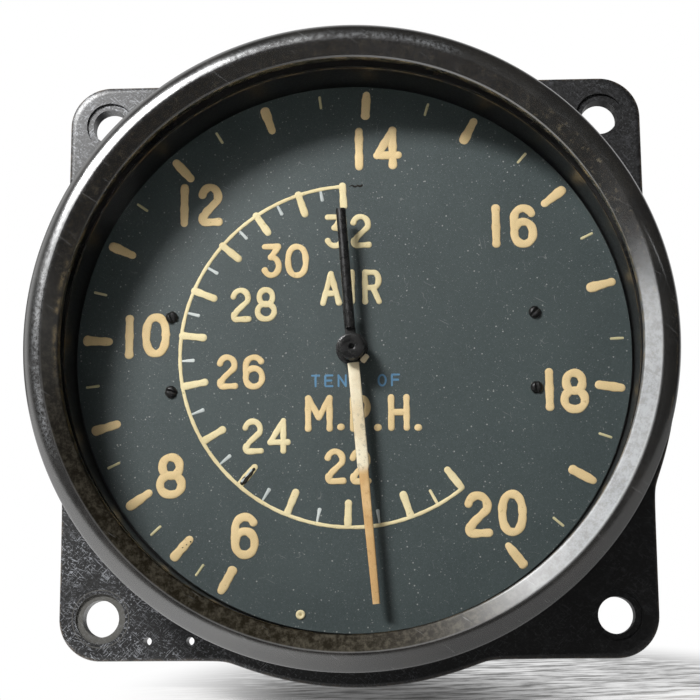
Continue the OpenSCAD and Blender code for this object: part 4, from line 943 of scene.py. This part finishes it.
reach = np.concatenate([np.linspace(1.9, 15.5, 30), np.linspace(15.9, 33.0, 36)])
blade_w = np.where(reach < 15.7, 1.55, 1.28 - 0.33 * (reach - 15.7) / 17.3)
under, over, paint_top = 10.2, 10.7, 10.78
blade_bar = strip(reach, blade_w, under, paint_top)
add_piece("pointer_blade", [blade_bar], "pointer_assembly", ["pointer"], pointer_cream)
link_bar = strip(np.linspace(-6.0, -1.4, 12), np.full(12, 1.42), under, over, 0.35)
washer = turned(rounded([(1.32, under), (2.1, under), (2.1, over), (1.32, over)], 0.12), 96, crown=1.0)
add_piece("pointer_link", [link_bar, washer], "pointer_assembly", ["pointer"], pointer_black)
tail_lean = 0.9
tail_path = np.outer(-np.linspace(2.72, 18.75, 40), ray(np.degrees(REST) + tail_lean))
tail = bead(tail_path, 1.3, 0.65, waver=0.0, base=over, tip=0.1)
add_piece("pointer_tail_bar", [tail], "pointer_assembly", ["pointer_tail"], pointer_black)
flake = bead([(1.36, -1.72), (1.98, -1.0)], 0.72, 0.12, base=10.66, waver=0.12, tip=0.4)
add_piece("collar_flake", [flake], "pointer_assembly", ["pointer"], pointer_cream)
bush = [(0.82, 9.5), (2.1, 9.5), (2.1, 10.19), (1.3, 10.19), (1.3, 10.71), (1.7, 10.71), (1.7, 12.5),
        (0.35, 12.5), (0.35, 11.72), (0.82, 11.68)]
hub = turned(rounded(bush, 0.16), 96)
add_piece("pointer_bush", [hub], "pointer_assembly", ["pointer_hub"], pointer_black)

# %% [markdown]
# The movement is brass, bronze, copper and steel. Worked metal has a slow change of tone, fine tool marks
# in its gloss, and on the yellow metals some tarnish.

# %% Metal finishes
def metal(name, dark, light, rough, stain=(0.0, 0.0, 0.0), stain_share=0.0):
    """Worked metal: a slow change of tone, fine tool marks in the gloss and a little tarnish."""
    material, shader, where = finish(name, metallic=1.0, roughness=rough)
    slow = noise(where, 130, 4)
    tool = noise(where, 1500, 2, 0.6, ((0, 0, 0), (1, 6, 1)))
    tone = mix(ramp(slow, 0.3, 0.7), dark, light)
    if stain_share:
        spots = ramp(noise(where, 480, 4, 0.7), 0.5, 0.68)
        tone = mix(times(spots, stain_share), tone, stain)
    feed(shader, tone, ramp(tool, 0.3, 0.7, rough - 0.08, rough + 0.1), tool, 0.08, 0.00003)
    return material


brass = metal("brass_plate", (0.52, 0.36, 0.13), (0.68, 0.49, 0.19), 0.3, (0.22, 0.13, 0.05), 0.35)
union_brass = metal("union_brass", (0.34, 0.25, 0.10), (0.52, 0.39, 0.17), 0.38, (0.12, 0.09, 0.05), 0.6)
dark_steel = metal("blackened_steel", (0.03, 0.03, 0.03), (0.06, 0.06, 0.06), 0.45)
steel = metal("ground_steel", (0.42, 0.42, 0.41), (0.58, 0.58, 0.56), 0.28)
blued = metal("blued_spring", (0.05, 0.08, 0.22), (0.12, 0.17, 0.36), 0.25)
bronze = metal("capsule_bronze", (0.50, 0.33, 0.15), (0.68, 0.48, 0.24), 0.32, (0.2, 0.11, 0.06), 0.25)
copper = metal("tube_copper", (0.42, 0.16, 0.08), (0.6, 0.27, 0.14), 0.35, (0.16, 0.07, 0.04), 0.4)
fibre, shader, where = finish("washer_fibre", specular=0.2, roughness=0.8)
feed(shader, mix(noise(where, 900, 4, 0.7), (0.12, 0.045, 0.025), (0.24, 0.10, 0.06)))
metals = (brass, union_brass, dark_steel, steel, blued, bronze, copper)
print("metals:", ", ".join(kind.name for kind in metals), "and", fibre.name)

# %% [markdown]
# At the rear, two pipe unions carry the pressure and static lines. Each is a hexagon with chamfered
# corners, a stem through the wall and a pipe thread. All of it is one closed grid: the hexagon is a
# radius that depends on the angle, and the thread is a ridge that climbs by one pitch each turn.

# %% Unions
def union(cx):
    """A union as one closed grid. Its profile runs up the outside, over the stem and down the bore. On the
    thread the radius is r - depth * ridge(out/pitch + angle/turn), and on the hexagon it is the smaller of
    flat / cos(angle within its side) and a chamfer cone."""
    a = circle(192)
    tip, hex_rear, hex_front = -79.035, -67.035, -62.035
    thread_r, tip_r, thread_deep, thread_pitch = 6.575, 5.75, 0.72, 1.337
    thread_out = np.linspace(tip, -67.2, 120)
    hex_out = np.array([hex_rear, -66.8, -66.4, -65.8, -64.5, -63.2, -62.6, -62.25, hex_front])
    stem = np.array([(5.0, -62.03), (5.0, -51.8), (4.75, -51.535), (3.15, -51.535), (2.95, -51.8),
                     (2.95, -78.8), (3.2, tip)])
    turns = thread_out[:, None] / thread_pitch + a / (2 * np.pi)
    ridge = np.clip(np.abs((turns % 1.0) * 2 - 1) * 1.3 - 0.15, 0, 1)
    fade = np.clip((thread_out - tip) / 0.9, 0.0, 1.0)[:, None]
    thread = tip_r + (thread_r - tip_r) * fade - thread_deep * ridge * fade
    side = (a % (np.pi / 3)) - np.pi / 6
    flat = 8.5 / np.cos(side)
    cone = 8.55 + 3.2 * np.minimum(hex_out - hex_rear, hex_front - hex_out)[:, None]
    r = np.vstack([thread, np.minimum(flat, cone), stem[:, :1] * np.ones_like(a)])
    out = np.concatenate([thread_out, hex_out, stem[:, 1]])[:, None]
    return grid(part_points(cx + r * np.cos(a), r * np.sin(a), out), wrap_rows=True)


for node, cx in (("pitot_union", UNION_X), ("static_union", -UNION_X)):
    add_piece(node + "_body", [union(cx)], "case_body", [node], union_brass, 28)

# %% [markdown]
# The movement, the capsule and the small fasteners are drawn in full in the solids, tooth by tooth, so
# they keep their shapes here and only take their metals.

# %% Movement
dress("front_plate back_plate plate_pillars frame_posts intermediate_wheel sector_gear capsule_arm drive_arm "
      "shaft_bracket capsule_pillar hairspring_collet hairspring_stud movement_screws", brass)
dress("pointer_arbor", dark_steel)
dress("pillar_screws intermediate_arbor sector_arbor sector_pin rocking_shaft bracket_screws capsule_boss",
      steel)
dress("hairspring", blued)
dress("capsule_front capsule_rear", bronze)
dress("pressure_tube", copper)
dress("union_nuts", union_brass)
dress("union_washers", fibre)
